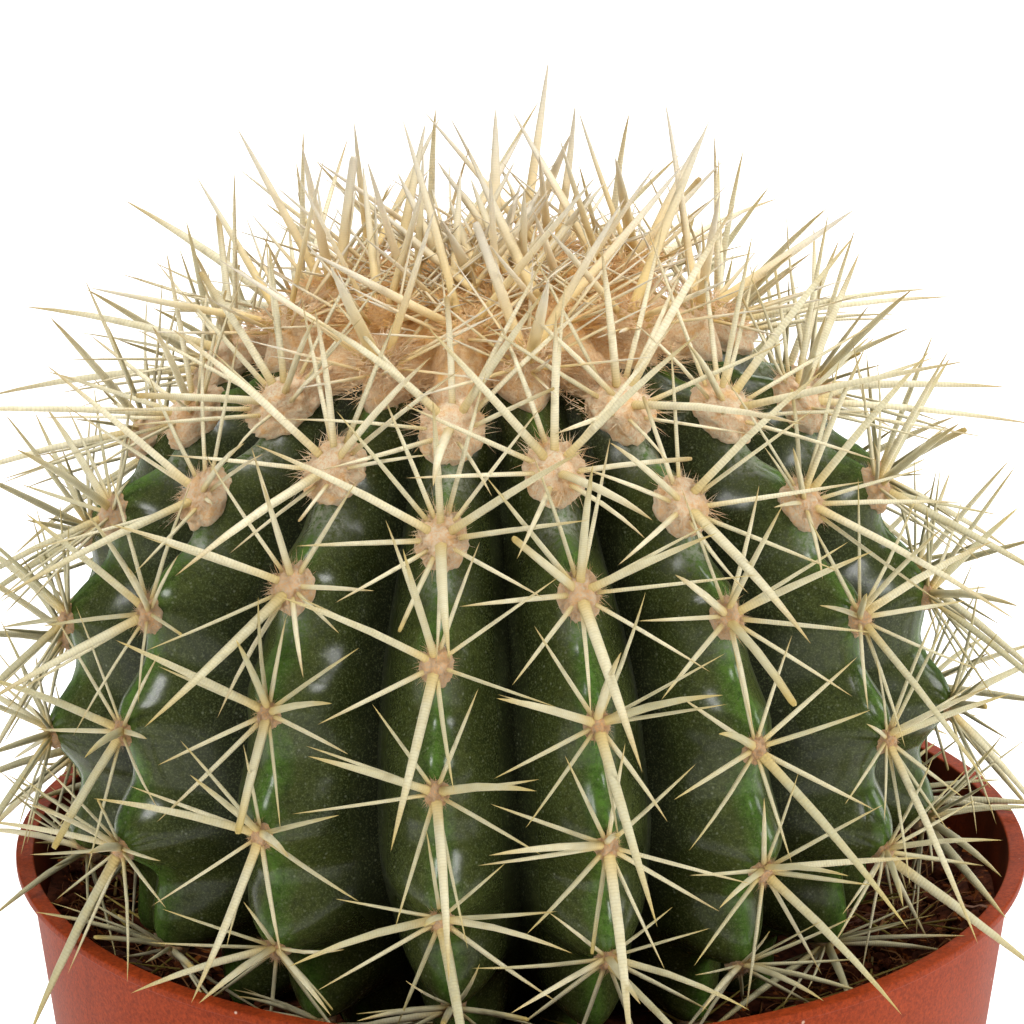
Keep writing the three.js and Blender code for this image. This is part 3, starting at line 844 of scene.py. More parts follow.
def makeHairTuft(seed):
    # a round tuft of hairs over a pad of half width 1, splayed at its edge
    rng = random.Random(seed)
    model = makeHairModel()
    points = [vertex.co.copy() for vertex in model.data.vertices]
    hairs = []
    for i in range(felt["hairsPerPad"]):
        out = math.sqrt(rng.random()) * felt["tuftEdge"]
        turn = rng.random() * 2 * math.pi
        radial = Vector((math.cos(turn), math.sin(turn), 0))
        rise = felt["tuftHeight"] * math.sqrt(1 - (felt["tuftRadius"] * out) ** 2)
        root = radial * out * felt["tuftRadius"] + Vector((0, 0, rise))
        lean = radial * (felt["splay"][0] + felt["splay"][1] * out ** 2)
        mess = Vector((rng.gauss(0, felt["mess"]), rng.gauss(0, felt["mess"]), 1))
        direction = (lean + mess).normalized()
        length = rng.uniform(*felt["hairLength"])
        bow = Vector((rng.gauss(0, felt["curl"]), rng.gauss(0, felt["curl"]), -felt["droop"] * length))
        hairs.append(placeHair(model, points, root, direction, length, bow, rng.random()))
    dropModel(model)
    return joinCopies(hairs, f"hairTuft{seed}")


def placeTufts(name, places):
    # each place, a matrix with its age and depth of colour, gets one of a few tufts, turned its own way
    tufts = [makeHairTuft(number) for number in range(felt["tufts"])]
    rng = random.Random(seeds[name])
    placed = []
    for place, aged, deep in places:
        hairs = plainCopy(tufts[rng.randrange(len(tufts))])
        hairs.data.transform(place @ Matrix.Rotation(rng.random() * 2 * math.pi, 4, "Z"))
        setAttribute(hairs, "aged", [aged] * len(hairs.data.vertices))
        setAttribute(hairs, "deep", [deep] * len(hairs.data.vertices))
        placed.append(hairs)
    for tuft in tufts:
        dropModel(tuft)
    return joinCopies(placed, name)


def feltMaterial():
    material = newMaterial("plant felt, grown")
    spot = addNode(material, "TexCoord").outputs["Object"]
    tone = addNode(material, "Attribute", attribute_name="tone").outputs["Fac"]
    deep = addNode(material, "Attribute", attribute_name="deep").outputs["Fac"]
    aged = addNode(material, "Attribute", attribute_name="aged").outputs["Fac"]
    # orange patches about 1 mm across in the pale felt
    patches = addNode(material, "TexNoise", {"Vector": spot, "Scale": 620, "Detail": 4, "Roughness": 0.6})
    patchShare = addNode(material, "MapRange", {"Value": patches, "From Min": 0.48, "From Max": 0.72})
    paleOrPink = addNode(material, "Mix", {0: tone, 6: felt["pale"], 7: felt["pink"]}, data_type="RGBA")
    patchy = addNode(material, "Mix", {0: patchShare, 6: paleOrPink, 7: felt["warm"]}, data_type="RGBA")
    # the felt browns as its areole ages
    agedShare = addNode(material, "Math", {0: aged, 1: 0.85}, operation="MULTIPLY")
    browned = addNode(material, "Mix", {0: agedShare, 6: patchy, 7: felt["aged"]}, data_type="RGBA")
    colour = addNode(material, "Mix", {0: deep, 6: browned, 7: felt["deep"]}, data_type="RGBA")
    # tangles of matted hair, 0.3 mm across, with painted shade in the hollows between them
    crumbs = addNode(material, "TexNoise", {"Vector": spot, "Scale": 3200, "Detail": 4, "Roughness": 0.8})
    hollowShadeShare = addNode(material, "MapRange",
                          {"Value": crumbs, "From Min": 0.54, "From Max": 0.38, "To Max": 0.7})
    crumbly = addNode(material, "Mix", {0: hollowShadeShare, 6: colour, 7: felt["hollow"]}, data_type="RGBA")
    bump = addNode(material, "Bump", {"Strength": 1.0, "Distance": 0.00030, "Height": crumbs})
    return finishShader(material, {
        "Base Color": crumbly,
        "Normal": bump,
        "Roughness": 0.9,
        "Sheen Weight": 0.2,
        "Sheen Roughness": 0.5,
        "IOR": 1.4,
        "Specular IOR Level": 0.1,
    })


feltFinish = feltMaterial()
areolePads = makePads()
finishPiece(areolePads, feltFinish)
areoleHairs = placeTufts("areoleHairs", [(padMatrix(areole, 0), areole["age"], 0.0) for areole in areoles])
finishPiece(areoleHairs, feltFinish)
print("stage: areole felt")


# Spines: one model that swells at its root, keeps its width and then draws to a point

spineShape = {
    "sides": 6,
    # share of the length, share of the width: from the root to just below the tip
    "rings": [(0.0, 0.80), (0.03, 1.12), (0.08, 1.0), (0.40, 0.93), (0.66, 0.73), (0.84, 0.44), (0.95, 0.17)],
    "brokenRings": [
        (0.0, 0.80), (0.035, 1.18), (0.09, 1.0), (0.4, 0.95), (0.72, 0.84), (0.97, 0.74), (1.0, 0.55),
    ],
    "flatness": 0.72,
    "lookPoints": 24,                # places along a spine
    "firstLook": 4,                  # the first of them that has to be clear
    "ownRoom": 0.0003,
    "soilRoom": 0.0008,
    "rimRoom": 0.0004,
    "bendStep": 0.09,
    "bendTries": 30,
    "stump": 0.7,                    # shares of its length and of its bow that are left of a broken spine
    "stumpBow": 0.5,
    "youngPaler": 0.55,
}
radialSpine = {
    "count": (8, 10),
    "lift": (12, 27),
    "youngLift": 15,
    "length": (0.0145, 0.0195),
    "width": (0.00044, 0.00068),
    "turnJitter": 8,
    "startTurn": (-12, 12),
    "rootPart": (0.45, 0.70),        # grown and young, as a share of the pad
    "youngWidth": 1.1,
    "bow": (-0.03, 0.05),
    "sway": 0.03,
    "broken": 0.03,
}
centralSpine = {
    "liftJitter": 5,
    "youngLift": 10,
    "lengthSpread": (0.86, 1.14),
    "widthSpread": (0.88, 1.1),
    "rootPart": 0.30,
    "sag": (0.01, 0.15),
    "sway": 0.03,
    "broken": 0.07,
}
# turn from straight up the rib, lift off the skin, length and width
centralSpines = [
    {"turn": 178, "turnJitter": 26, "lift": 34, "length": 0.0255, "width": 0.00128, "share": 1.0},
    {"turn": -66, "turnJitter": 14, "lift": 38, "length": 0.0205, "width": 0.00104, "share": 0.92},
    {"turn": 66, "turnJitter": 14, "lift": 38, "length": 0.0205, "width": 0.00104, "share": 0.92},
    {"turn": 0, "turnJitter": 12, "lift": 52, "length": 0.0195, "width": 0.00098, "share": 0.80},
]
spineColours = {
    "root": "#cdb068",
    "straw": "#b3ae8c",
    "pale": "#f8eecf",
    "tip": "#b39b4e",
    "brownTip": "#9b7b44",
    "ring": "#8f8458",
    "ringShare": 0.17,
    "rootEnd": 0.22,                   # share of the length
    "glow": 0.3,                       # how much light passes through
}
youngColours = {
    "root": "#e4be62",
    "straw": "#cfc6a8",
    "pale": "#eae2d0",
    "tip": "#c6bba6",
    "brownTip": "#b7a992",
    "ring": "#a89c7c",
    "ringShare": 0.08,
    "rootEnd": 0.78,
    "glow": 0.4,
}
stemTones = (0.0, 0.42)                # young spines are pale, grown ones straw coloured
weatheredColours = {
    "root": "#7a5a33",
    "straw": "#8a7630",
    "pale": "#b6a255",
    "tip": "#86733c",
    "brownTip": "#664c2c",
    "ring": "#6d5f3a",
    "ringShare": 0.17,
    "rootEnd": 0.22,
    "glow": 0.0,
}


def makeSpineModel(name, rings, pointed):
    deselectAll()
    first = rings[0][1]
    bpy.ops.mesh.primitive_circle_add(vertices=spineShape["sides"], radius=first, fill_type="NGON")
    spine = nameActive(name)
    bpy.ops.object.mode_set(mode="EDIT")
    bpy.ops.mesh.select_all(action="SELECT")
    for (low, wide), (high, wider) in zip(rings, rings[1:]):
        bpy.ops.mesh.extrude_region_move(TRANSFORM_OT_translate={"value": (0, 0, high - low)})
        bpy.ops.transform.resize(value=(wider / wide, wider / wide, 1))
    if pointed:
        bpy.ops.mesh.extrude_region_move(TRANSFORM_OT_translate={"value": (0, 0, 1 - rings[-1][0])})
        bpy.ops.mesh.merge(type="CENTER")
    bpy.ops.object.mode_set(mode="OBJECT")
    closeMesh(spine)
    bpy.ops.object.shade_smooth()
    points = [vertex.co.copy() for vertex in spine.data.vertices]
    setAttribute(spine, "share", [point.z for point in points])
    return spine, points


def spineCentre(spine, share):
    return spine["root"] + spine["direction"] * spine["length"] * share + spine["bow"] * share ** 2


def clearsSurroundings(spine):
    # the soil and the pot's rim, each with a little room
    inner = wallTopRadius - potShape["wall"]
    steps = spineShape["lookPoints"]
    for k in range(spineShape["firstLook"], steps + 1):
        share = k / steps
        room = spineShape["ownRoom"] + spine["width"] / 2 * (1 - share)
        point = spineCentre(spine, share)
        fromPot = math.hypot(point.x, point.y)
        if fromPot < inner and point.z < soilLevel(fromPot) + spineShape["soilRoom"] + room:
            return False
        overRim = inner - room < fromPot < potShape["lipRadius"] + room
        if overRim and point.z < rimTop + spineShape["rimRoom"] + room:
            return False
    return True


def bendClear(spine):
    # a spine in the way of something is tilted upwards until it passes
    for attempt in range(spineShape["bendTries"]):
        if clearsSurroundings(spine):
            return True
        spine["direction"] = (spine["direction"] + Vector((0, 0, spineShape["bendStep"]))).normalized()
    return False


def placeSpine(model, points, spine, tone):
    copy = copyOf(model, tone)
    flatSide = spine["direction"].cross(spine["face"]).normalized()
    thickSide = flatSide.cross(spine["direction"]).normalized()
    half = spine["width"] / 2
    for vertex, point in zip(copy.data.vertices, points):
        offset = flatSide * point.x * half + thickSide * point.y * half * spineShape["flatness"]
        vertex.co = spineCentre(spine, point.z) + offset
    return copy


def leafDirection(areole, turn, lift):
    flat = areole["upward"] * math.cos(turn) + areole["sideways"] * math.sin(turn)
    return (flat * math.cos(lift) + areole["outward"] * math.sin(lift)).normalized()


def padRoot(areole, turn, part):
    half = areole["width"] / 2
    along = areole["upward"] * math.cos(turn) * half * areoleRows["lengthRatio"]
    across = areole["sideways"] * math.sin(turn) * half
    lift = areole["thickness"] * math.sqrt(1 - part ** 2) - felt["padSink"]
    return areole["centre"] + (along + across) * part + areole["outward"] * lift


def grownSpine(areole, turn, lift, part, length, width, bow, broken, paler=0.0):
    # a spine on its areole: part tells how far out on the pad it stands
    return {
        "root": padRoot(areole, turn, part),
        "direction": leafDirection(areole, turn, lift),
        "face": areole["outward"],
        "length": length,
        "width": width,
        "bow": bow,
        "broken": broken,
        "paler": paler,
    }


def listStemSpines():
    rng = random.Random(seeds["stemSpinePlaces"])
    radials = []
    centrals = []
    for areole in areoles:
        young = 1 - areole["age"]
        paler = spineShape["youngPaler"] * young
        count = rng.randint(*radialSpine["count"])
        start = rng.uniform(*radialSpine["startTurn"])
        for i in range(count):
            turn = math.radians(start + 360 * (i + 0.5) / count + rng.gauss(0, radialSpine["turnJitter"]))
            lift = math.radians(rng.uniform(*radialSpine["lift"]) + young * radialSpine["youngLift"])
            length = rng.uniform(*radialSpine["length"]) * areole["stretch"]
            width = rng.uniform(*radialSpine["width"]) * lerp(1, radialSpine["youngWidth"], young)
            bow = areole["outward"] * length * rng.gauss(*radialSpine["bow"])
            bow += areole["sideways"] * length * rng.gauss(0, radialSpine["sway"])
            part = lerp(*radialSpine["rootPart"], young)
            broken = rng.random() < radialSpine["broken"]
            radials.append(grownSpine(areole, turn, lift, part, length, width, bow, broken, paler))
        for kind in centralSpines:
            if rng.random() > kind["share"]:
                continue
            turn = math.radians(kind["turn"] + rng.gauss(0, kind["turnJitter"] / 2))
            tilt = rng.gauss(0, centralSpine["liftJitter"]) + young * centralSpine["youngLift"]
            length = kind["length"] * areole["stretch"] * rng.uniform(*centralSpine["lengthSpread"])
            width = kind["width"] * rng.uniform(*centralSpine["widthSpread"])
            bow = Vector((0, 0, -1)) * length * rng.uniform(*centralSpine["sag"])
            bow += areole["sideways"] * length * rng.gauss(0, centralSpine["sway"])
            lift = math.radians(kind["lift"] + tilt)
            broken = rng.random() < centralSpine["broken"]
            part = centralSpine["rootPart"]
            centrals.append(grownSpine(areole, turn, lift, part, length, width, bow, broken, paler))
    return [spine for spine in radials if bendClear(spine)], [spine for spine in centrals if bendClear(spine)]


def makeSpines(name, spines, tones):
    rng = random.Random(seeds[name])
    pointed, points = makeSpineModel("spineModel", spineShape["rings"], True)
    blunt, bluntPoints = makeSpineModel("bluntSpineModel", spineShape["brokenRings"], False)
    copies = []
    for spine in spines:
        tone = min(rng.uniform(*tones) + spine["paler"], 1)
        if spine["broken"]:
            spine["length"] *= spineShape["stump"]
            spine["bow"] = spine["bow"] * spineShape["stumpBow"]
            copies.append(placeSpine(blunt, bluntPoints, spine, tone))
        else:
            copies.append(placeSpine(pointed, points, spine, tone))
    dropModel(pointed)
    dropModel(blunt)
    return joinCopies(copies, name)


def spineMaterial(name, colours):
    material = newMaterial(name)
    spot = addNode(material, "TexCoord").outputs["Object"]
    share = addNode(material, "Attribute", attribute_name="share").outputs["Fac"]
    tone = addNode(material, "Attribute", attribute_name="tone").outputs["Fac"]
    # streaks of 1 mm in straw, darker towards the tip and golden at the root
    streaks = addNode(material, "TexNoise", {"Vector": spot, "Scale": 900, "Detail": 3})
    straw = addNode(material, "Mix", {0: tone, 6: colours["straw"], 7: colours["pale"]}, data_type="RGBA")
    shade = addNode(material, "MapRange",
                    {"Value": streaks, "From Min": 0.3, "From Max": 0.75, "To Max": 0.25})
    stained = addNode(material, "Mix", {0: shade, 6: straw, 7: colours["tip"]}, data_type="RGBA")
    tipColour = addNode(material, "Mix", {0: tone, 6: colours["tip"], 7: colours["brownTip"]},
                        data_type="RGBA")
    tipShare = addNode(material, "MapRange", {"Value": share, "From Min": 0.62, "From Max": 1.05})
    tipped = addNode(material, "Mix", {0: tipShare, 6: stained, 7: tipColour}, data_type="RGBA")
    rootShare = addNode(material, "MapRange", {
        "Value": share,
        "From Min": 0.03,
        "From Max": colours["rootEnd"],
        "To Min": 0.75,
        "To Max": 0.0,
    })
    colour = addNode(material, "Mix", {0: rootShare, 6: tipped, 7: colours["root"]}, data_type="RGBA")
    # growth rings across the spine, 0.35 mm apart on a spine of 20 mm
    rings = addNode(material, "Math", {0: share, 1: 360.0}, operation="MULTIPLY")
    ring = addNode(material, "Math", {0: rings}, operation="SINE")
    ringShare = addNode(material, "MapRange",
                        {"Value": ring, "From Min": 0.2, "To Max": colours["ringShare"]})
    ringed = addNode(material, "Mix", {0: ringShare, 6: colour, 7: colours["ring"]}, data_type="RGBA")
    bump = addNode(material, "Bump",
                   {"Strength": 2 * colours["ringShare"], "Distance": 0.00004, "Height": ring})
    material.node_tree.nodes["Principled BSDF"].subsurface_method = "BURLEY"
    return finishShader(material, {
        "Base Color": ringed,
        "Normal": bump,
        "Roughness": 0.42,
        "IOR": 1.5,
        "Specular IOR Level": 0.15,
        "Subsurface Weight": colours["glow"],
        "Subsurface Radius": (0.0012, 0.0010, 0.0006),
    })


spineFinish = spineMaterial("cactus spine, dry lignin", spineColours)
radials, centrals = listStemSpines()
radialPiece = makeSpines("radialSpines", radials, stemTones)
finishPiece(radialPiece, spineFinish)
centralPiece = makeSpines("centralSpines", centrals, stemTones)
finishPiece(centralPiece, spineFinish)
print("stage: stem spines,", len(radials), "radial and", len(centrals), "central")


# Crown: the wool where the youngest areoles run together, deeper in colour towards its middle

crown = {
    "pastAreole": 0.0046,          # how far the wool reaches past its outermost areoles
    "leastReach": 0.0195,
    "furrowReach": 0.0195,
    "joinReach": 0.0330,           # the felt of areoles nearer to the middle is joined to the wool
    "furrowPower": 1.4,            # how sharply the edge draws back beside a rib
    "thickness": 0.0030,
    "furrowShare": 0.55,           # of that thickness, away from the mounds
    "lumps": [(0.00070, 420), (0.00045, 1500)],
    "toneScale": 240,
    "sink": 0.0010,
    "moundHeight": 0.0024,
    "moundRadius": 0.0036,
    "moundWidth": 0.0076,
    "edgePower": 5,                # how sharply the wool's edge rounds down to the skin
    "deepRadius": 0.0190,
    "deepPower": 4,
    "palerMounds": 0.4,
    "palerTufts": 0.6,
    "filling": 0.0014,
    "fillReach": 0.0150,
    "tuftHeight": 0.0034,
    "columnsPerRib": 20,
    "rings": 96,
    "tuftSink": 0.75,              # share of a tuft's height that stays under the wool's surface
    "looseTufts": 104,
    "looseWidth": (0.0045, 0.0070),
    "looseReach": (0.15, 0.97),
}


def woolReach(rib):
    # the wool's edge runs out along each rib and draws back in the furrows
    near = math.floor(rib + 0.5)
    away = abs(rib - near) * 2
    reaches = [crown["leastReach"]]
    for areole in youngestAreoles + areoles:
        if areole["rib"] != near % stem["ribs"]:
            continue
        if areole["arc"] < areoleRows["first"]:
            reaches.append(areole["arc"] + crown["pastAreole"])
        elif areole["arc"] < crown["joinReach"]:
            reaches.append(areole["arc"])
    return lerp(max(reaches), crown["furrowReach"], away ** crown["furrowPower"])


def moundAt(point):
    # 1 on one of the youngest areoles, falling to 0 between them
    nearest = min((point - areole["centre"]).length for areole in youngestAreoles)
    return math.exp(-(nearest / crown["moundRadius"]) ** 2)


def deepAt(arc):
    return math.exp(-(arc / crown["deepRadius"]) ** crown["deepPower"])


def woolHeight(point, edge, arc):
    # height above the skin: it fills the dimple, with a mound over each of the youngest areoles
    mound = moundAt(point)
    filling = crown["filling"] * (1 - smoothstep(arc, 0, crown["fillReach"]))
    rounding = math.sqrt(max(1 - edge ** crown["edgePower"], 0))
    between = crown["thickness"] * lerp(crown["furrowShare"], 1, mound)
    lump = lumpsAt(point, crown["lumps"])
    return (filling + between + crown["moundHeight"] * mound + lump) * rounding


def makeCrown():
    columns = stem["ribs"] * crown["columnsPerRib"]
    deselectAll()
    bpy.ops.mesh.primitive_uv_sphere_add(segments=columns, ring_count=crown["rings"], radius=1)
    wool = nameActive("crownWool")
    deep = []
    tone = []
    for vertex in wool.data.vertices:
        rib, polar = ribAndPolar(vertex.co)
        edge = min(polar, math.pi - polar) / (math.pi / 2)
        arc = edge * woolReach(rib)
        point = skinPoint(rib, arc)
        if vertex.co.z > 0:
            vertex.co = skinPoint(rib, arc, woolHeight(point, edge, arc))
        else:
            vertex.co = skinPoint(rib, arc, -crown["sink"] * math.sqrt(max(1 - edge ** 2, 0)))
        deep.append(deepAt(arc) * (1 - crown["palerMounds"] * moundAt(point)))
        tone.append(0.5 + lumpsAt(point, [(0.5, crown["toneScale"])]))
    setAttribute(wool, "deep", deep)
    setAttribute(wool, "tone", tone)
    closeMesh(wool, fineMergeDistance)
    selectOnly(wool)
    bpy.ops.object.shade_smooth()
    return wool


def crownTuftPlaces():
    # a tuft on each mound, and smaller ones between them, rooted just inside the wool
    places = []
    tall = crown["tuftHeight"]
    root = crown["tuftSink"] * tall
    for areole in youngestAreoles:
        mound = dict(areole, width=crown["moundWidth"], thickness=tall)
        height = woolHeight(areole["centre"], 0, areole["arc"])
        places.append((padMatrix(mound, 0, height - root), 0.0, crown["palerTufts"] * deepAt(areole["arc"])))
    rng = random.Random(seeds["looseTuftPlaces"])
    for i in range(crown["looseTufts"]):
        rib = rng.random() * stem["ribs"]
        edge = lerp(*crown["looseReach"], math.sqrt(rng.random()))
        arc = edge * woolReach(rib)
        tuft = {**axesAt(rib, arc), "width": rng.uniform(*crown["looseWidth"]), "thickness": tall}
        height = woolHeight(tuft["centre"], edge, arc)
        places.append((padMatrix(tuft, 0, height - root), 0.0, deepAt(arc)))
    return places


crownWool = makeCrown()
finishPiece(crownWool, feltFinish, "crown_wool")
crownHairs = placeTufts("crownHairs", crownTuftPlaces())
finishPiece(crownHairs, feltFinish)
print("stage: crown wool,", len(youngestAreoles), "young areoles")


crownSpine = {
    "radials": 12,
    "radialPart": 0.5,             # how far out on the mound they stand
    "radialLift": (10, 42),
    "radialLength": (0.0105, 0.0175),
    "radialWidth": (0.00034, 0.00066),
    "centrals": 3,
    "centralPart": 0.2,
    "centralLift": (34, 74),
    "centralLength": (0.0165, 0.0250),
    "centralWidth": (0.00085, 0.00160),
    "middleStretch": 0.62,
    "middleShare": 0.7,            # of that many spines, in the middle
    "stretchReach": 0.016,
    "turnJitter": 12,
    "sink": 0.0006,
    "bow": 0.04,
    "broken": 0.02,
    "tones": (0.1, 1.0),
}


def listCrownSpines():
    rng = random.Random(seeds["crownSpinePlaces"])
    spines = []
    for areole in youngestAreoles:
        outer = smoothstep(areole["arc"], 0, crownSpine["stretchReach"])
        stretch = lerp(crownSpine["middleStretch"], 1, outer)
        height = woolHeight(areole["centre"], 0, areole["arc"])
        mound = dict(areole, width=crown["moundWidth"], thickness=height)
        for kind in ("radial", "central"):
            count = round(crownSpine[kind + "s"] * lerp(crownSpine["middleShare"], 1, outer))
            start = rng.random() * 360
            for i in range(count):
                turn = math.radians(start + 360 * i / count + rng.gauss(0, crownSpine["turnJitter"]))
                lift = math.radians(rng.uniform(*crownSpine[kind + "Lift"]))
                length = rng.uniform(*crownSpine[kind + "Length"]) * stretch
                width = rng.uniform(*crownSpine[kind + "Width"])
                bow = leafDirection(areole, turn, 0) * length * rng.gauss(0, crownSpine["bow"])
                broken = rng.random() < crownSpine["broken"]
                spine = grownSpine(mound, turn, lift, crownSpine[kind + "Part"], length, width, bow, broken)
                spine["root"] = spine["root"] - areole["outward"] * crownSpine["sink"]
                spines.append(spine)
    return [spine for spine in spines if bendClear(spine)]


crownPiece = makeSpines("crownSpines", listCrownSpines(), crownSpine["tones"])
finishPiece(crownPiece, spineMaterial("cactus spine, young", youngColours))
print("stage: crown spines")


# Soil: peat and plant fibre, with crumbs, fibres and grit lying on it

soilShape = {
    "clear": 0.00035,              # gap to the pot and to the stem
    "room": 0.0002,                # between what lies on the soil and the stem
    "rings": 62,
    "wallRings": 6,
    "columns": 400,
    "relief": [(0.0006, 45, 1.7), (0.0010, 190, 4.1), (0.0004, 800, 9.3)],
    "topBand": 1e-5,               # what lies within this of the top is the surface
    "creaseAngle": 60,
    "bareShares": (0.5, 1),        # of the soil's area, outwards: things lie there
    "dark": "#2b140c",
    "mid": "#5f3321",
    "rust": "#b0642f",
}
# crumbs and grit lie on the soil as dented balls
lumpShape = {
    "dent": [(0.35, 1.7)],
    "dentShift": 3.1,
    "spread": (0.75, 1.1),
    "tilt": 0.5,
    "rise": 0.45,                  # of its radius
}
crumb = {"name": "soilCrumbs", "count": 1300, "radius": (0.00030, 0.00130), "power": 2.6, "flat": 0.55}
gritGrain = {"name": "soilGrit", "count": 26, "radius": (0.00030, 0.00075), "power": 1.4, "flat": 0.7}
gritColours = ("#d8d2c4", "#a99b85")
# coir fibres and dried rootlets lie on it as bowed, wavy strands
strandShape = {
    "steps": 7,
    "startRoom": 0.0004,
    "bend": 0.17,
    "wiggle": 0.03,
    "waves": 9,
    "phases": 6,
    "hump": 0.0011,
    "rise": 0.6,                   # of its radius
    "look": 0.07,                  # how far ahead and behind its direction is taken
    "tip": 0.4,
}
fibre = {"name": "soilFibres", "count": 900, "length": (0.0030, 0.0110), "radius": (0.00005, 0.00012)}
fibreColours = ("#86532f", "#b8875a")
rootlet = {"name": "soilRootlets", "count": 40, "length": (0.0050, 0.0120), "radius": (0.00014, 0.00028)}
rootletColours = ("#8a5f4e", "#b58d78")


def soilHeight(x, y):
    # waves, lumps and grain, each cut out of its own level of the noise
    height = 0
    for size, scale, level in soilShape["relief"]:
        height += size * noise.noise(Vector((x * scale, y * scale, level)))
    return soilLevel(math.hypot(x, y)) + height


def potInside(z):
    return wallRadius(z) - potShape["wall"]


def makeSoilBed():
    bottom = potShape["floor"] + soilShape["clear"]
    top = soilTop + soilBank["height"]
    lowRadius = potInside(bottom) - soilShape["clear"] - potShape["cornerRadius"] * 0.5
    topRadius = potInside(top) - soilShape["clear"]
    outline = [Vector((0, 0, bottom)), Vector((lowRadius, 0, bottom))]
    for i in range(1, soilShape["wallRings"] + 1):
        share = i / soilShape["wallRings"]
        outline.append(Vector((lerp(lowRadius, topRadius, share), 0, lerp(bottom, top, share))))
    rings = soilShape["rings"]
    outline += [Vector((topRadius * (1 - i / rings), 0, top)) for i in range(1, rings + 1)]
    bed = spinOutline("soilBed", outline, soilShape["columns"])
    for vertex in bed.data.vertices:
        if vertex.co.z > top - soilShape["topBand"]:
            vertex.co.z = soilHeight(vertex.co.x, vertex.co.y)
    # the hollow that the stem's foot sits in
    foot = plainCopy(skin)
    middle = Vector((stem["offset"], 0, stem["middle"]))
    grow = 1 + soilShape["clear"] / stem["radius"]
    foot.data.transform(Matrix.Translation(middle) @ Matrix.Scale(grow, 4) @ Matrix.Translation(-middle))
    cutWith(bed, foot, "MANIFOLD")
    dropModel(foot)
    smoothByAngle(bed, soilShape["creaseAngle"])
    return bed


skinTree = BVHTree.FromPolygons([vertex.co for vertex in skin.data.vertices],
                                [polygon.vertices[:] for polygon in skin.data.polygons])


def gapToStem(point):
    # distance from the skin, below 0 inside the stem
    nearest, normal, face, gap = skinTree.find_nearest(point)
    return gap if (point - nearest).dot(normal) > 0 else -gap


def liesClear(path, radius, room):
    # inside the pot and outside the stem
    inside = potInside(soilTop) - radius - soilShape["clear"]
    return all(math.hypot(p.x, p.y) <= inside and gapToStem(p) >= radius + room for p in path)


def spotOnSoil(rng, radius):
    # a random place on the bare outer part of the soil, with room for something of that radius
    outer = potInside(soilTop) - radius - soilShape["clear"]
    while True:
        turn = rng.random() * 2 * math.pi
        out = outer * math.sqrt(rng.uniform(*soilShape["bareShares"]))
        x, y = out * math.cos(turn), out * math.sin(turn)
        spot = Vector((x, y, soilHeight(x, y)))
        if gapToStem(spot + Vector((0, 0, radius))) > radius + soilShape["room"]:
            return spot


def makeLumps(kind):
    # one rough ball, copied, each copy dented its own way
    seed = seeds[kind["name"]]
    rng = random.Random(seed)
    deselectAll()
    bpy.ops.mesh.primitive_ico_sphere_add(subdivisions=2, radius=1)
    model = nameActive("lumpModel")
    points = [vertex.co.copy() for vertex in model.data.vertices]
    copies = []
    for number in range(kind["count"]):
        radius = lerp(*kind["radius"], rng.random() ** kind["power"])
        spot = spotOnSoil(rng, radius)
        copy = copyOf(model, rng.random())
        shift = Vector((number * lumpShape["dentShift"], seed, 0))
        wide = rng.uniform(*lumpShape["spread"])
        deep = rng.uniform(*lumpShape["spread"])
        stretch = Vector((wide, deep, rng.uniform(kind["flat"], 1)))
        turn = Matrix.Rotation(rng.random() * 2 * math.pi, 3, "Z")
        turn = turn @ Matrix.Rotation(rng.gauss(0, lumpShape["tilt"]), 3, "X")
        centre = spot + Vector((0, 0, radius * lumpShape["rise"]))
        for vertex, point in zip(copy.data.vertices, points):
            dent = 1 + lumpsAt(point, lumpShape["dent"], shift)
            vertex.co = centre + turn @ (point * stretch) * radius * dent
        copies.append(copy)
    dropModel(model)
    return joinCopies(copies, kind["name"])


def makeStrandModel():
    deselectAll()
    bpy.ops.mesh.primitive_circle_add(vertices=3, radius=1, fill_type="NGON")
    strand = nameActive("strandModel")
    bpy.ops.object.mode_set(mode="EDIT")
    bpy.ops.mesh.select_all(action="SELECT")
    for i in range(strandShape["steps"]):
        bpy.ops.mesh.extrude_region_move(TRANSFORM_OT_translate={"value": (0, 0, 1 / strandShape["steps"])})
    bpy.ops.transform.resize(value=(strandShape["tip"], strandShape["tip"], 1))
    bpy.ops.object.mode_set(mode="OBJECT")
    closeMesh(strand)
    return strand


